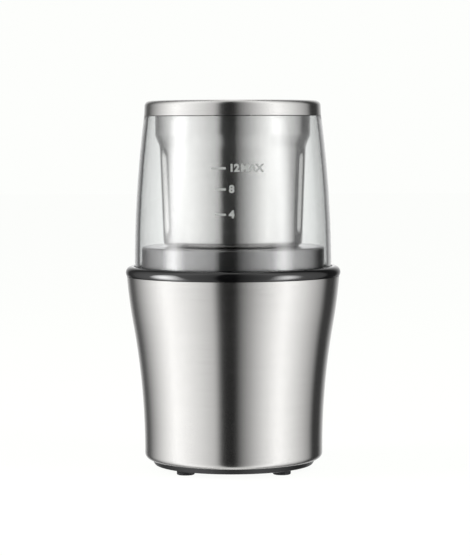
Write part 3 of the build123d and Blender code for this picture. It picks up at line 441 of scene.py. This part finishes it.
# Cord inlet: black rubber grommet snapped into the shell's back.
# Its flange follows the shell, and its bore is open for the cord.
paint(nodes["cord_inlet"], rubber)


# Motor: a universal motor hung from the deck on rubber dampers, all of it inside the base.
# Varnished lamination stacks, enamelled copper coils, cast brackets, bronze bearings and carbon brushes.
# Each metal shows by its hue: grey stacks, red copper, dull cast alloy, brown bronze, yellow brass.
laminations = machined("varnished_lamination_stack", "#5d5f63", 0.45, 0.5, (0.02, 0.02, 1), 0.1)
copper_wire = machined("enamelled_copper_wire", "#b3663c", 0.3, 0.6, (1, 1, 0.3), 0.08)
commutator_copper = machined("drawn_copper_bars", "#c98057", 0.28, 0.3, (0.05, 0.05, 1))
cast_alloy = machined("die_cast_aluminium", "#b9babb", 0.5, 1.2, (1, 1, 1), 0.1)
bronze = machined("sintered_bronze", "#a97f4a", 0.42, 0.25, (1, 1, 1), 0.1)
stamped_brass = machined("stamped_brass", "#c9a45c", 0.3, 0.5, (1, 0.1, 1))
turned_steel = machined("turned_bright_steel", "#cfd0d2", 0.2, 0.25, (0.02, 0.02, 1), 0.06)
spring_steel = machined("drawn_spring_wire", "#9c9da0", 0.3, 0.3, (1, 1, 1))
# Pressed carbon and filled nylon: both dull and nearly black, the carbon with a finer grain.
carbon = moulded("pressed_carbon", "#1c1c1d", "#262627", 0.55, 0.2, 0.3)
nylon = moulded("glass_filled_nylon", "#191a1c", "#222326", 0.5, 0.3, 0.25)
motor_finish = {
    "stator_core": laminations,
    "armature_core": laminations,
    "field_coils": copper_wire,
    "armature_winding": copper_wire,
    "commutator": commutator_copper,
    "motor_lower_bracket": cast_alloy,
    "motor_upper_bracket": cast_alloy,
    "lower_bearing": bronze,
    "upper_bearing": bronze,
    "brush_holders": stamped_brass,
    "carbon_brushes": carbon,
    "motor_shaft": turned_steel,
    "motor_bolts": zinc_plate,
    "motor_dampers": rubber,
    "damper_screws": zinc_plate,
    "cooling_fan": nylon,
    "drive_coupling": nylon,
}
for node_name, finish in motor_finish.items():
    paint(nodes[node_name], finish)


# Brush springs: two short coils of drawn wire that push the brushes onto the commutator.
# Each fills the room between its brush and the closed end of its holder.
def coil(name, radius, wire, height, turns):
    """Wire coil about the Z axis, wound upwards from its first half wire, in mm."""
    bpy.ops.object.select_all(action="DESELECT")
    bpy.ops.mesh.primitive_circle_add(
        vertices=14,
        radius=wire / 2 * MM,
        fill_type="NOTHING",
        location=(radius * MM, 0, wire / 2 * MM),
        rotation=(math.pi / 2, 0, 0),
    )
    winding = bpy.context.object
    winding.name = winding.data.name = name
    bpy.ops.object.transform_apply(location=True, rotation=True, scale=True)
    apply_modifier(
        winding,
        "SCREW",
        axis="Z",
        screw_offset=(height - wire) / turns * MM,
        iterations=turns,
        steps=48,
        render_steps=48,
        use_merge_vertices=True,
    )
    bpy.ops.object.mode_set(mode="EDIT")
    bpy.ops.mesh.select_all(action="DESELECT")
    bpy.ops.mesh.select_non_manifold(extend=False)
    bpy.ops.mesh.edge_face_add()
    bpy.ops.mesh.select_all(action="SELECT")
    bpy.ops.mesh.normals_make_consistent(inside=False)
    bpy.ops.object.mode_set(mode="OBJECT")
    bpy.ops.object.shade_smooth_by_angle(angle=math.radians(50))
    return winding


brush_low, brush_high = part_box("brush_springs")
brush_level = (brush_low.z + brush_high.z) / 2
brush_spring_length = 4.55
brush_spring_radius = 2.2
brush_wire = 0.6
brush_turns = 3
for side, side_name in ((1, "right"), (-1, "left")):
    brush_spring = coil(
        f"brush_spring_{side_name}", brush_spring_radius, brush_wire, brush_spring_length, brush_turns
    )
    brush_spring.rotation_euler = (0, side * math.pi / 2, 0)
    brush_spring.location = (side * (brush_high.x - brush_spring_length * MM), 0, brush_level)
    bpy.ops.object.transform_apply(location=True, rotation=True, scale=True)
    paint(brush_spring, spring_steel)
    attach(brush_spring, "base")
    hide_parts("brush_springs")


# Lid switch: the lid's edge pushes a natural acetal plunger, whose arm presses a small switch.
# The switch has a dark moulded case, a red button and brass tabs, and two screws to a rib of the deck.
# Acetal: waxy and smooth, milky as moulded or dyed red. The phenolic case is duller and dark grey.
acetal = moulded("natural_acetal", "#dcdad3", "#e6e4de", 0.38, 0.6, 0.1)
switch_case = moulded("phenolic_switch_case", "#2a2b2e", "#323337", 0.45, 0.3, 0.2)
red_acetal = moulded("red_acetal", "#a82a22", "#b5352b", 0.38, 0.4, 0.1)
paint(nodes["switch_plunger"], acetal)
paint(nodes["microswitch"], switch_case)
paint(nodes["switch_button"], red_acetal)
paint(nodes["switch_terminals"], stamped_brass)
paint(nodes["switch_screws"], zinc_plate)


# Deck: black ABS moulding that closes the base, with a groove for the lid's edge and a well for the coupling.
# A rubber ring seals the well round the motor's shaft.
paint(nodes["top_deck"], black_abs)
paint(nodes["well_seal"], rubber)


# Collar ring: glossy black ABS ring that frames the lid's groove and covers the shell's top edge.
# A bead runs round its foot, and its crown rolls in over the groove.
def glossy(name, colour, roughness, ripple, bump):
    """Polished moulding with a faint ripple of a given size in mm and a few fine rub marks."""
    rub_width = 0.8
    along_rub = 0.1
    ripple_depth = 0.05
    material, output = start_material(name)
    place = add_node(material, "ShaderNodeTexCoord").outputs["Object"]
    waves = add_node(
        material, "ShaderNodeTexNoise", {"Vector": place, "Scale": 1 / (ripple * MM), "Detail": 1}
    )
    squeezed = add_node(material, "ShaderNodeMapping", {"Vector": place, "Scale": (along_rub, along_rub, 1)})
    rubs = add_node(
        material,
        "ShaderNodeTexNoise",
        {"Vector": squeezed.outputs["Vector"], "Scale": 1 / (rub_width * MM), "Detail": 3},
    )
    gloss = add_node(
        material,
        "ShaderNodeMapRange",
        {"Value": rubs.outputs["Fac"], "To Min": roughness * 0.6, "To Max": roughness * 1.4},
    )
    relief = add_node(
        material,
        "ShaderNodeBump",
        {"Height": waves.outputs["Fac"], "Strength": bump, "Distance": ripple_depth * MM},
    )
    skin = add_node(
        material,
        "ShaderNodeBsdfPrincipled",
        {
            "Base Color": linear(colour),
            "Roughness": gloss.outputs["Result"],
            "Normal": relief.outputs["Normal"],
            "IOR": 1.54,
        },
    )
    material.node_tree.links.new(skin.outputs["BSDF"], output.inputs["Surface"])
    return material


ring_low, ring_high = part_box("collar_ring")
ring_top = ring_high.z / MM
ring_radius = ring_high.x / MM - 0.02
ring_bottom = shell_top + 0.3
ring_width = 4.6
ring_inner = ring_radius - ring_width
ring_foot = ring_low.z / MM
ring_lip = ring_inner + 1.3
ring_edge = 0.3
bead_round = 0.5
ring_widest = (ring_radius, ring_bottom + 1.9)
bead_top = (ring_radius - bead_round, ring_bottom + 3.7)
ring_tuck = (ring_radius - bead_round, ring_bottom)
ring_crown = (ring_inner + 1.4, ring_top)
bead_flank = [ring_widest, *arc(ring_widest, (0, -1), ring_tuck, 8)][::-1]
bead_end = heading_after(ring_widest, (0, 1), bead_top)
ring = turned(
    "gloss_collar_ring",
    [
        (ring_lip, ring_foot),
        (ring_lip, ring_bottom),
        *bead_flank,
        *arc(ring_widest, (0, 1), bead_top, 10),
        *arc(bead_top, bead_end, ring_crown, 14),
        (ring_inner + ring_edge, ring_top),
        *arc((ring_inner + ring_edge, ring_top), (-1, 0), (ring_inner, ring_top - ring_edge), 4),
        (ring_inner, ring_foot),
        (ring_lip, ring_foot),
    ],
    224,
)
# Polished ABS: deep black with a sharp bright line along the bead, a little uneven from the mould.
gloss_black = glossy("polished_black_abs", "#0b0b0c", 0.09, 9, 0.15)
paint(ring, gloss_black)
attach(ring, "base")
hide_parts("collar_ring")


# Skirt: drawn steel cup under the bowl, whose top carries the bowl's floor.
# It hides a black moulded core with the bearing, and lifts out of the base with the bowl.
skirt_low, skirt_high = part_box("bowl_skirt")
skirt_radius = skirt_high.x / MM
skirt_top = skirt_high.z / MM
skirt_bottom = skirt_low.z / MM
skirt_corner = 1.6
skirt_wall = 0.7
skirt_lead = 5
skirt_rows = (46, 30)
shaft_hole = 6.05
skirt_side_top = (skirt_radius, skirt_top - skirt_corner)
skirt = turned(
    "satin_bowl_skirt",
    [
        (skirt_radius, skirt_bottom),
        (skirt_radius, skirt_bottom + skirt_lead),
        skirt_side_top,
        *arc(skirt_side_top, (0, 1), (skirt_radius - skirt_corner, skirt_top), 8),
        *[(row, skirt_top) for row in skirt_rows],
        (shaft_hole, skirt_top),
    ],
    224,
)
thicken(skirt, skirt_wall)
# Polished stainless steel, a little smoother than the shell's, with its colour darkened as painted shade for
# the shade it stands in under the lid: the same bands as the shell, darker and with more contrast.
shaded_skirt_steel = brushed_steel("shaded_polished_stainless_skirt", "#a3a2a2", 0.23, 0.85, 1.4, 0.04)
paint(skirt, shaded_skirt_steel)
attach(skirt, "bowl")
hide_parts("bowl_skirt")
# Silicone: milky white and dull.
silicone = moulded("white_silicone", "#d9d8d2", "#e2e1dc", 0.55, 0.5, 0.1)
paint(nodes["bowl_core"], black_abs)
paint(nodes["bowl_bush"], bronze)
paint(nodes["floor_gasket"], silicone)
paint(nodes["clamp_nut"], turned_steel)
paint(nodes["shaft_seal"], rubber)


# Bowl: deep-drawn stainless cup with a wider band at its mouth and flutes pressed into its sides.
# The flutes turn the beans back to the blade. Its wall is one sheet, so they show inside as ribs.
bowl_low, bowl_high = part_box("bowl_shell")
bowl_bottom = bowl_low.z / MM
bowl_rim = bowl_high.z / MM
band_radius = bowl_high.x / MM
bowl_foot_radius = 38.9
bowl_radius = 40.9
bowl_corner = 3.5
bowl_wall = 0.8
bowl_floor_row = 20
shoulder_blend = 9.0
crease_blend = 2.0
band_bottom = bowl_rim - 11.2
shoulder_bottom = band_bottom - 6.6


def blended(before, corner, after, radius, count):
    """Arc of a given radius in the corner between two straight lines, with both its ends."""
    back = (before[0] - corner[0], before[1] - corner[1])
    ahead = (after[0] - corner[0], after[1] - corner[1])
    back = (back[0] / math.hypot(*back), back[1] / math.hypot(*back))
    ahead = (ahead[0] / math.hypot(*ahead), ahead[1] / math.hypot(*ahead))
    half = math.acos(back[0] * ahead[0] + back[1] * ahead[1]) / 2
    reach = radius / math.tan(half)
    start = (corner[0] + back[0] * reach, corner[1] + back[1] * reach)
    end = (corner[0] + ahead[0] * reach, corner[1] + ahead[1] * reach)
    return [start, *arc(start, (-back[0], -back[1]), end, count)]


bowl_corners = [
    (shaft_hole, bowl_bottom),
    (bowl_foot_radius, bowl_bottom),
    (bowl_radius, shoulder_bottom),
    (band_radius, band_bottom),
    (band_radius, bowl_rim),
]
floor_curve = blended(*bowl_corners[0:3], bowl_corner, 12)
shoulder_curve = blended(*bowl_corners[1:4], shoulder_blend, 8)
crease_curve = blended(*bowl_corners[2:5], crease_blend, 6)
wall_rows = 36
wall_start = floor_curve[-1]
wall_end = shoulder_curve[0]
wall = [
    (
        wall_start[0] + (wall_end[0] - wall_start[0]) * row / wall_rows,
        wall_start[1] + (wall_end[1] - wall_start[1]) * row / wall_rows,
    )
    for row in range(1, wall_rows)
]
bowl = turned(
    "fluted_bowl",
    [
        bowl_corners[0],
        (bowl_floor_row, bowl_bottom),
        *floor_curve,
        *wall,
        *shoulder_curve,
        *crease_curve,
        bowl_corners[-1],
    ],
    288,
)
flute_angles = (-22.5, 22.5, 157.5, 202.5)
flute_reach = 6.0
flute_depth = 1.7
flute_low = bowl_bottom + 10.5
flute_high = shoulder_bottom - 6.0
flute_group = bowl.vertex_groups.new(name="flutes")
for vertex in bowl.data.vertices:
    height = vertex.co.z / MM
    reach = math.hypot(vertex.co.x, vertex.co.y) / MM
    if height < flute_low - flute_reach or height > flute_high + flute_reach:
        continue
    bearing = math.degrees(math.atan2(vertex.co.y, vertex.co.x))
    aside = min(abs((bearing - angle + 180) % 360 - 180) for angle in flute_angles)
    across = math.radians(aside) * reach
    along = max(flute_low - height, height - flute_high, 0)
    away = math.hypot(across, along)
    if away < flute_reach:
        flute_group.add([vertex.index], 0.5 + 0.5 * math.cos(math.pi * away / flute_reach), "REPLACE")
apply_modifier(
    bowl, "DISPLACE", vertex_group="flutes", strength=-flute_depth * MM, mid_level=0, direction="NORMAL"
)
thicken(bowl, bowl_wall)
# Satin stainless steel: lighter than the skirt, with clear bands and few brush lines.
bowl_steel = brushed_steel("satin_stainless_bowl", "#dddcda", 0.2, 0.75, 1.4, 0.04)
paint(bowl, bowl_steel)
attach(bowl, "bowl")
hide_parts("bowl_shell")


# Scale: level marks etched into the front of the bowl, a dash and a figure for each filling.
# The etch is matt, so it looks light against dark reflections and dark against bright ones.
mark_lift = 0.03


def wrap_on_bowl(piece):
    """Presses flat marks onto the bowl's front, a hair above the steel."""
    bpy.ops.object.select_all(action="DESELECT")
    piece.select_set(True)
    bpy.context.view_layer.objects.active = piece
    bpy.ops.object.transform_apply(location=True, rotation=True, scale=True)
    bpy.ops.object.mode_set(mode="EDIT")
    bpy.ops.mesh.select_all(action="SELECT")
    bpy.ops.mesh.remove_doubles(threshold=MM / 100)
    bpy.ops.mesh.quads_convert_to_tris()
    bpy.ops.mesh.subdivide(number_cuts=2)
    bpy.ops.object.mode_set(mode="OBJECT")
    apply_modifier(
        piece,
        "SHRINKWRAP",
        target=bowl,
        wrap_method="PROJECT",
        use_project_x=False,
        use_project_y=True,
        use_project_z=False,
        use_positive_direction=True,
        use_negative_direction=False,
        wrap_mode="ABOVE_SURFACE",
        offset=mark_lift * MM,
    )


figure_height = 3.9
figure_share = 0.70
figure_weight = 0.3
figure_left = -2.0
dash_right = -3.7
dash_height = 1.2
mark_front = -60
marks = []
for level, words, dash_left in ((168.9, "12 MAX", -11.5), (157.5, "8", -9.6), (143.8, "4", -9.6)):
    bpy.ops.object.select_all(action="DESELECT")
    bpy.ops.object.text_add(rotation=(math.pi / 2, 0, 0))
    figure = bpy.context.object
    figure.data.body = words
    figure.data.size = figure_height / figure_share * MM
    figure.data.offset = figure_weight * MM
    figure.data.space_word = 0.5
    figure.data.align_y = "CENTER"
    figure.location = (figure_left * MM, mark_front * MM, level * MM)
    bpy.ops.object.convert(target="MESH")
    marks.append(bpy.context.object)
    bpy.ops.object.select_all(action="DESELECT")
    bpy.ops.mesh.primitive_grid_add(
        x_subdivisions=8,
        y_subdivisions=2,
        size=1,
        location=((dash_left + dash_right) / 2 * MM, mark_front * MM, level * MM),
        rotation=(math.pi / 2, 0, 0),
    )
    dash = bpy.context.object
    dash.scale = ((dash_right - dash_left) * MM, dash_height * MM, 1)
    marks.append(dash)
for mark in marks:
    wrap_on_bowl(mark)
bpy.ops.object.select_all(action="DESELECT")
for mark in marks:
    mark.select_set(True)
scale_marks = marks[0]
bpy.context.view_layer.objects.active = scale_marks
bpy.ops.object.join()
scale_marks.name = scale_marks.data.name = "etched_scale"
apply_modifier(scale_marks, "SOLIDIFY", thickness=mark_lift * MM, offset=-1)
# Etched steel: pale and matt, so it takes no bands of light.
etch = moulded("etched_matt_steel", "#ececea", "#f2f2f0", 0.65, 0.2, 0.2)
paint(scale_marks, etch)
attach(scale_marks, "bowl")


# Blade: two wings of hardened sheet, one bent up and one down, ground on their leading edges.
# A cap nut holds it on its shaft, which turns in the bowl's bush and ends in the driven coupling.
# Ground blade steel: bright, with fine lines across the wings.
blade_steel = machined("ground_blade_steel", "#d3d4d6", 0.22, 0.35, (1, 0.05, 1), 0.07)
blade_finish = {
    "blade": blade_steel,
    "blade_shaft": turned_steel,
    "blade_spacer": turned_steel,
    "blade_nut": turned_steel,
    "shaft_retainer": spring_steel,
    "driven_coupling": nylon,
}
for node_name, finish in blade_finish.items():
    paint(nodes[node_name], finish)


# Inner lid: a grey moulded pan with a silicone ring that closes the bowl's mouth.
# A coil spring on its boss lifts the outer lid again after a press, and is squeezed by it.
# Satin ABS: light grey, with an even soft sheen.
grey_abs = moulded("satin_grey_abs", "#b9b9b6", "#c1c1be", 0.4, 0.6, 0.12)
paint(nodes["seal_plate"], grey_abs)
paint(nodes["bowl_seal"], silicone)
spring_low, spring_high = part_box("lid_spring")
spring_height = (spring_high.z - spring_low.z) / MM
spring_radius = 8.0
spring_wire = 0.9
spring_turns = 3
lid_spring = coil("lid_return_spring", spring_radius, spring_wire, spring_height, spring_turns)
lid_spring.location = (0, 0, spring_low.z)
bpy.ops.object.transform_apply(location=True, rotation=True, scale=True)
paint(lid_spring, spring_steel)
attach(lid_spring, "inner_lid")
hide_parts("lid_spring")
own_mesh(lid_spring)


# Lid: a tall clear sleeve of moulded SAN that stands round the bowl in the base's groove.
# Its wall thickens to a land and a neck at the top, which carries the cap on a black carrier.
lid_low, lid_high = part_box("lid_shell")
lid_bottom = lid_low.z / MM
lid_outer = lid_high.x / MM
lid_wall = 2.5
lid_inner = lid_outer - lid_wall
neck_top = lid_high.z / MM
shoulder = bowl_rim - 0.5
shoulder_radius = 49.5
neck_radius = 48.65
neck_draft = 0.45
neck_inner = 45.95
land = shoulder + 0.5
wall_top = land - 1.2
lid_rise = shoulder - lid_bottom
lid_lean = lid_outer - shoulder_radius
lid_arc = (lid_rise**2 + lid_lean**2) / (2 * lid_lean)
inner_top = lid_outer - lid_arc + math.sqrt((lid_arc - lid_wall) ** 2 - (wall_top - lid_bottom) ** 2)
lid_round = 0.5
shoulder_round = 0.2
shoulder_bulge = 0.06
outer_foot = (lid_outer, lid_bottom + lid_round)
inner_foot = (lid_inner, lid_bottom + lid_round)
inside = [inner_foot, *arc(inner_foot, (0, 1), (inner_top, wall_top), 28)][::-1]
lid = turned(
    "clear_lid",
    [
        (lid_inner + lid_round, lid_bottom),
        (lid_outer - lid_round, lid_bottom),
        *arc((lid_outer - lid_round, lid_bottom), (1, 0), outer_foot, 5),
        *arc(outer_foot, (0, 1), (shoulder_radius, shoulder - shoulder_round), 28),
        (shoulder_radius - shoulder_bulge, shoulder - shoulder_bulge),
        (shoulder_radius - shoulder_round, shoulder),
        (neck_radius, shoulder),
        (neck_radius - neck_draft, neck_top),
        (neck_inner, neck_top),
        (neck_inner, land),
        *inside,
        *arc(inner_foot, (0, -1), (lid_inner + lid_round, lid_bottom), 5),
    ],
    224,
)
# Clear SAN: clear as glass from the front, greyer where the wall is seen edge on, a little wavy from
# the mould and with faint wipe marks.
flow_size = 30
flow_depth = 0.2
wipe_size = 4
clear_san, lid_output = start_material("clear_moulded_san")
lid_place = add_node(clear_san, "ShaderNodeTexCoord").outputs["Object"]
flow = add_node(
    clear_san,
    "ShaderNodeTexNoise",
    {"Vector": lid_place, "Scale": 1 / (flow_size * MM), "Detail": 1, "Roughness": 0.4},
)
flow_relief = add_node(
    clear_san,
    "ShaderNodeBump",
    {"Height": flow.outputs["Fac"], "Strength": 0.05, "Distance": flow_depth * MM},
)
wipe = add_node(
    clear_san,
    "ShaderNodeTexNoise",
    {"Vector": lid_place, "Scale": 1 / (wipe_size * MM), "Detail": 4},
)
wipe_gloss = add_node(
    clear_san, "ShaderNodeMapRange", {"Value": wipe.outputs["Fac"], "To Min": 0.0, "To Max": 0.03}
)
clear_skin = add_node(
    clear_san,
    "ShaderNodeBsdfPrincipled",
    {
        "Base Color": linear("#fcfdfd"),
        "Roughness": wipe_gloss.outputs["Result"],
        "Normal": flow_relief.outputs["Normal"],
        "IOR": 1.5,
        "Transmission Weight": 1,
    },
)
tint = add_node(clear_san, "ShaderNodeVolumeAbsorption", {"Color": linear("#d7d7d7"), "Density": 60})
clear_san.node_tree.links.new(clear_skin.outputs["BSDF"], lid_output.inputs["Surface"])
clear_san.node_tree.links.new(tint.outputs["Volume"], lid_output.inputs["Volume"])
paint(lid, clear_san)
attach(lid, "lid")
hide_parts("lid_shell")
paint(nodes["cap_carrier"], black_abs)


# Cap: drawn stainless cap pressed over the lid's neck, where the hand pushes down.
# Side and top are brushed around the axis, and its edge is rounded by the draw.
cap_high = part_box("lid_cap")[1]
cap_top = cap_high.z / MM
cap_bottom = shoulder + 0.02
cap_radius = cap_high.x / MM
cap_draft = 0.45
cap_corner = 2.8
cap_wall = 0.6
cap_rows = (36, 24, 12, 0)
cap_corners = [(cap_radius, cap_bottom), (cap_radius - cap_draft, cap_top), (0, cap_top)]
cap = turned(
    "brushed_lid_cap",
    [
        cap_corners[0],
        *blended(*cap_corners, cap_corner, 10),
        *[(row, cap_top) for row in cap_rows],
    ],
    224,
)
thicken(cap, cap_wall)
cap_steel = brushed_steel("brushed_stainless_cap", "#d0cfcd", 0.26, 0.85, 0.8, 0.05)
paint(cap, cap_steel)
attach(cap, "lid")
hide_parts("lid_cap")


# Studio: white paper on the floor and a white room. Both are bright to the eye and through the lid, and
# give less light than they show. The paper doesn't show in gloss or from behind.
def seen_directly(shaded):
    """Socket that is one where the camera, gloss or the clear lid looks, and nought for diffuse light."""
    ray = add_node(shaded, "ShaderNodeLightPath").outputs
    seen = add_node(
        shaded, "ShaderNodeMath", {0: ray["Is Camera Ray"], 1: ray["Is Glossy Ray"]}, operation="MAXIMUM"
    )
    seen_through = add_node(
        shaded,
        "ShaderNodeMath",
        {0: seen.outputs["Value"], 1: ray["Is Transmission Ray"]},
        operation="MAXIMUM",
    )
    return seen_through.outputs["Value"]


def mirrored(shaded):
    """Socket that is one in gloss only, also behind the clear lid."""
    depth = add_node(shaded, "ShaderNodeLightPath").outputs["Glossy Depth"]
    return add_node(shaded, "ShaderNodeMath", {0: depth, 1: 0.5}, operation="GREATER_THAN").outputs["Value"]


floor_size = 12
paper_glow_share = 0.93
paper_glow_strength = 1.04
bpy.ops.object.select_all(action="DESELECT")
bpy.ops.mesh.primitive_plane_add(size=floor_size)
floor = bpy.context.object
floor.name = "studio_floor"
paper, paper_output = start_material("white_paper")
matt = add_node(paper, "ShaderNodeBsdfDiffuse", {"Color": linear("#f2f2f0")})
glow = add_node(
    paper, "ShaderNodeEmission", {"Color": linear("#fdfefc"), "Strength": paper_glow_strength}
)
share = add_node(
    paper, "ShaderNodeMath", {0: seen_directly(paper), 1: paper_glow_share}, operation="MULTIPLY"
)
lit_paper = add_node(
    paper, "ShaderNodeMixShader", {0: share.outputs["Value"], 1: matt.outputs[0], 2: glow.outputs[0]}
)
paper_side = add_node(paper, "ShaderNodeNewGeometry")
paper_open = add_node(
    paper, "ShaderNodeMath", {0: mirrored(paper), 1: paper_side.outputs["Backfacing"]}, operation="MAXIMUM"
)
paper_clear = add_node(paper, "ShaderNodeBsdfTransparent")
paper_shown = add_node(
    paper,
    "ShaderNodeMixShader",
    {0: paper_open.outputs["Value"], 1: lit_paper.outputs["Shader"], 2: paper_clear.outputs[0]},
)
paper.node_tree.links.new(paper_shown.outputs["Shader"], paper_output.inputs["Surface"])
paint(floor, paper)

world = bpy.data.worlds.new("studio")
bpy.context.scene.world = world
world.use_nodes = True
world.node_tree.nodes.clear()
fill = add_node(world, "ShaderNodeBackground", {"Color": linear("#f4f5f4"), "Strength": 0.4})
backdrop = add_node(world, "ShaderNodeBackground", {"Color": linear("#fdfefc"), "Strength": 1})
room = add_node(
    world, "ShaderNodeMixShader", {0: seen_directly(world), 1: fill.outputs[0], 2: backdrop.outputs[0]}
)
add_node(world, "ShaderNodeOutputWorld", {"Surface": room.outputs["Shader"]})


# Light screen: a tall white sheet hung round the set, brightest beside the two softboxes.
# Dark stretches of it draw the dark lines down the steel. It shows in gloss only.
# Each level is a bearing in degrees, from the camera to the right, and a brightness.
screen_radius = 1400
screen_height = 10000
screen_levels = (
    (-180, 1.3),
    (-146, 0.1),
    (-136, 0.14),
    (-79, 1.7),
    (-22, 0.76),
    (-15, 0.02),
    (3, 0.02),
    (9, 0.24),
    (59, 1.65),
    (112, 0.48),
    (120, 0.05),
    (141, 0.06),
    (180, 1.3),
)
brightest = max(level for bearing, level in screen_levels)
bpy.ops.object.select_all(action="DESELECT")
bpy.ops.mesh.primitive_cylinder_add(
    vertices=180, radius=screen_radius * MM, depth=screen_height * MM, end_fill_type="NOTHING"
)
screen = bpy.context.object
screen.name = "light_screen"
lit_sheet, sheet_output = start_material("lit_white_sheet")
sheet_place = add_node(lit_sheet, "ShaderNodeTexCoord").outputs["Object"]
sheet_parts = add_node(lit_sheet, "ShaderNodeSeparateXYZ", {"Vector": sheet_place})
towards_camera = add_node(
    lit_sheet, "ShaderNodeMath", {0: sheet_parts.outputs["Y"], 1: -1}, operation="MULTIPLY"
)
sheet_bearing = add_node(
    lit_sheet,
    "ShaderNodeMath",
    {0: sheet_parts.outputs["X"], 1: towards_camera.outputs["Value"]},
    operation="ARCTAN2",
)
sheet_share = add_node(
    lit_sheet,
    "ShaderNodeMapRange",
    {"Value": sheet_bearing.outputs["Value"], "From Min": -math.pi, "From Max": math.pi},
)
sheet_ramp = add_node(lit_sheet, "ShaderNodeValToRGB", {"Fac": sheet_share.outputs["Result"]})
ramp_stops = sheet_ramp.color_ramp.elements
while len(ramp_stops) < len(screen_levels):
    ramp_stops.new(0.5)
for stop, (bearing, level) in zip(ramp_stops, screen_levels):
    stop.position = (bearing + 180) / 360
    stop.color = (level / brightest, level / brightest, level / brightest, 1)
sheet_glow = add_node(
    lit_sheet, "ShaderNodeEmission", {"Color": sheet_ramp.outputs["Color"], "Strength": brightest}
)
sheet_clear = add_node(lit_sheet, "ShaderNodeBsdfTransparent")
sheet_shown = add_node(
    lit_sheet,
    "ShaderNodeMixShader",
    {0: mirrored(lit_sheet), 1: sheet_clear.outputs[0], 2: sheet_glow.outputs[0]},
)
lit_sheet.node_tree.links.new(sheet_shown.outputs["Shader"], sheet_output.inputs["Surface"])
paint(screen, lit_sheet)
screen.visible_camera = False
screen.visible_diffuse = False
screen.visible_shadow = False


# Lamps: two softboxes light the whole set. Strips of light beside them are there for the gloss of the
# lid and the ring, and light nothing else. Distances are in metres and angles in degrees.
lamp_reach = 1.3
lamp_level = 0.12


def facing(bearing, elevation):
    """Place and turn of a lamp that faces the grinder from a bearing and an elevation."""
    swing = math.radians(bearing)
    rise = math.radians(elevation)
    height = lamp_level + lamp_reach * math.tan(rise)
    return {
        "location": (lamp_reach * math.sin(swing), -lamp_reach * math.cos(swing), height),
        "rotation": (math.pi / 2 - rise, 0, swing),
    }


softbox_elevation = 26
softbox_width = 0.6
softbox_height = 1.1
for name, bearing, radiance in (("softbox_left", -76, 8.2), ("softbox_right", 59, 6.8)):
    bpy.ops.object.select_all(action="DESELECT")
    bpy.ops.object.light_add(type="AREA", **facing(bearing, softbox_elevation))
    softbox = bpy.context.object
    softbox.name = name
    softbox.data.shape = "RECTANGLE"
    softbox.data.size = softbox_width
    softbox.data.size_y = softbox_height
    softbox.data.energy = radiance * math.pi * softbox_width * softbox_height
    softbox.visible_camera = False
    softbox.visible_glossy = False
    softbox.visible_transmission = False


def hang_strip(name, bearing, elevation, width, height, radiance, piece):
    """Sheet of light with faded sides that one piece alone reflects."""
    bpy.ops.object.select_all(action="DESELECT")
    bpy.ops.mesh.primitive_plane_add(size=1, **facing(bearing, elevation))
    strip = bpy.context.object
    strip.name = name
    strip.scale = (width, height, 1)
    material, output = start_material(name)
    place = add_node(material, "ShaderNodeTexCoord").outputs["Object"]
    parts = add_node(material, "ShaderNodeSeparateXYZ", {"Vector": place})
    strength = radiance
    for axis in ("X", "Y"):
        away = add_node(material, "ShaderNodeMath", {0: parts.outputs[axis]}, operation="ABSOLUTE")
        fade = add_node(
            material,
            "ShaderNodeMapRange",
            {"Value": away.outputs["Value"], "From Min": 0.5, "From Max": 0},
            interpolation_type="SMOOTHSTEP",
        )
        product = add_node(
            material, "ShaderNodeMath", {0: fade.outputs["Result"], 1: strength}, operation="MULTIPLY"
        )
        strength = product.outputs["Value"]
    glow = add_node(material, "ShaderNodeEmission", {"Color": (1, 1, 1, 1), "Strength": strength})
    clear = add_node(material, "ShaderNodeBsdfTransparent")
    both = add_node(material, "ShaderNodeAddShader", {0: glow.outputs[0], 1: clear.outputs[0]})
    material.node_tree.links.new(both.outputs["Shader"], output.inputs["Surface"])
    paint(strip, material)
    strip.visible_camera = False
    strip.visible_diffuse = False
    strip.visible_shadow = False
    strip.visible_transmission = False
    receivers = bpy.data.collections.new(name)
    receivers.objects.link(piece)
    strip.light_linking.receiver_collection = receivers


hang_strip("lid_strip_left", -72, 3, 0.85, 1.6, 9, lid)
hang_strip("lid_strip_right", 60, 3, 0.8, 1.6, 6, lid)
hang_strip("ring_strip_left", -76, -6, 1.3, 2.3, 16, ring)
hang_strip("ring_strip_right", 59, -6, 1.0, 2.3, 11, ring)

bpy.context.scene.view_settings.view_transform = "Standard"
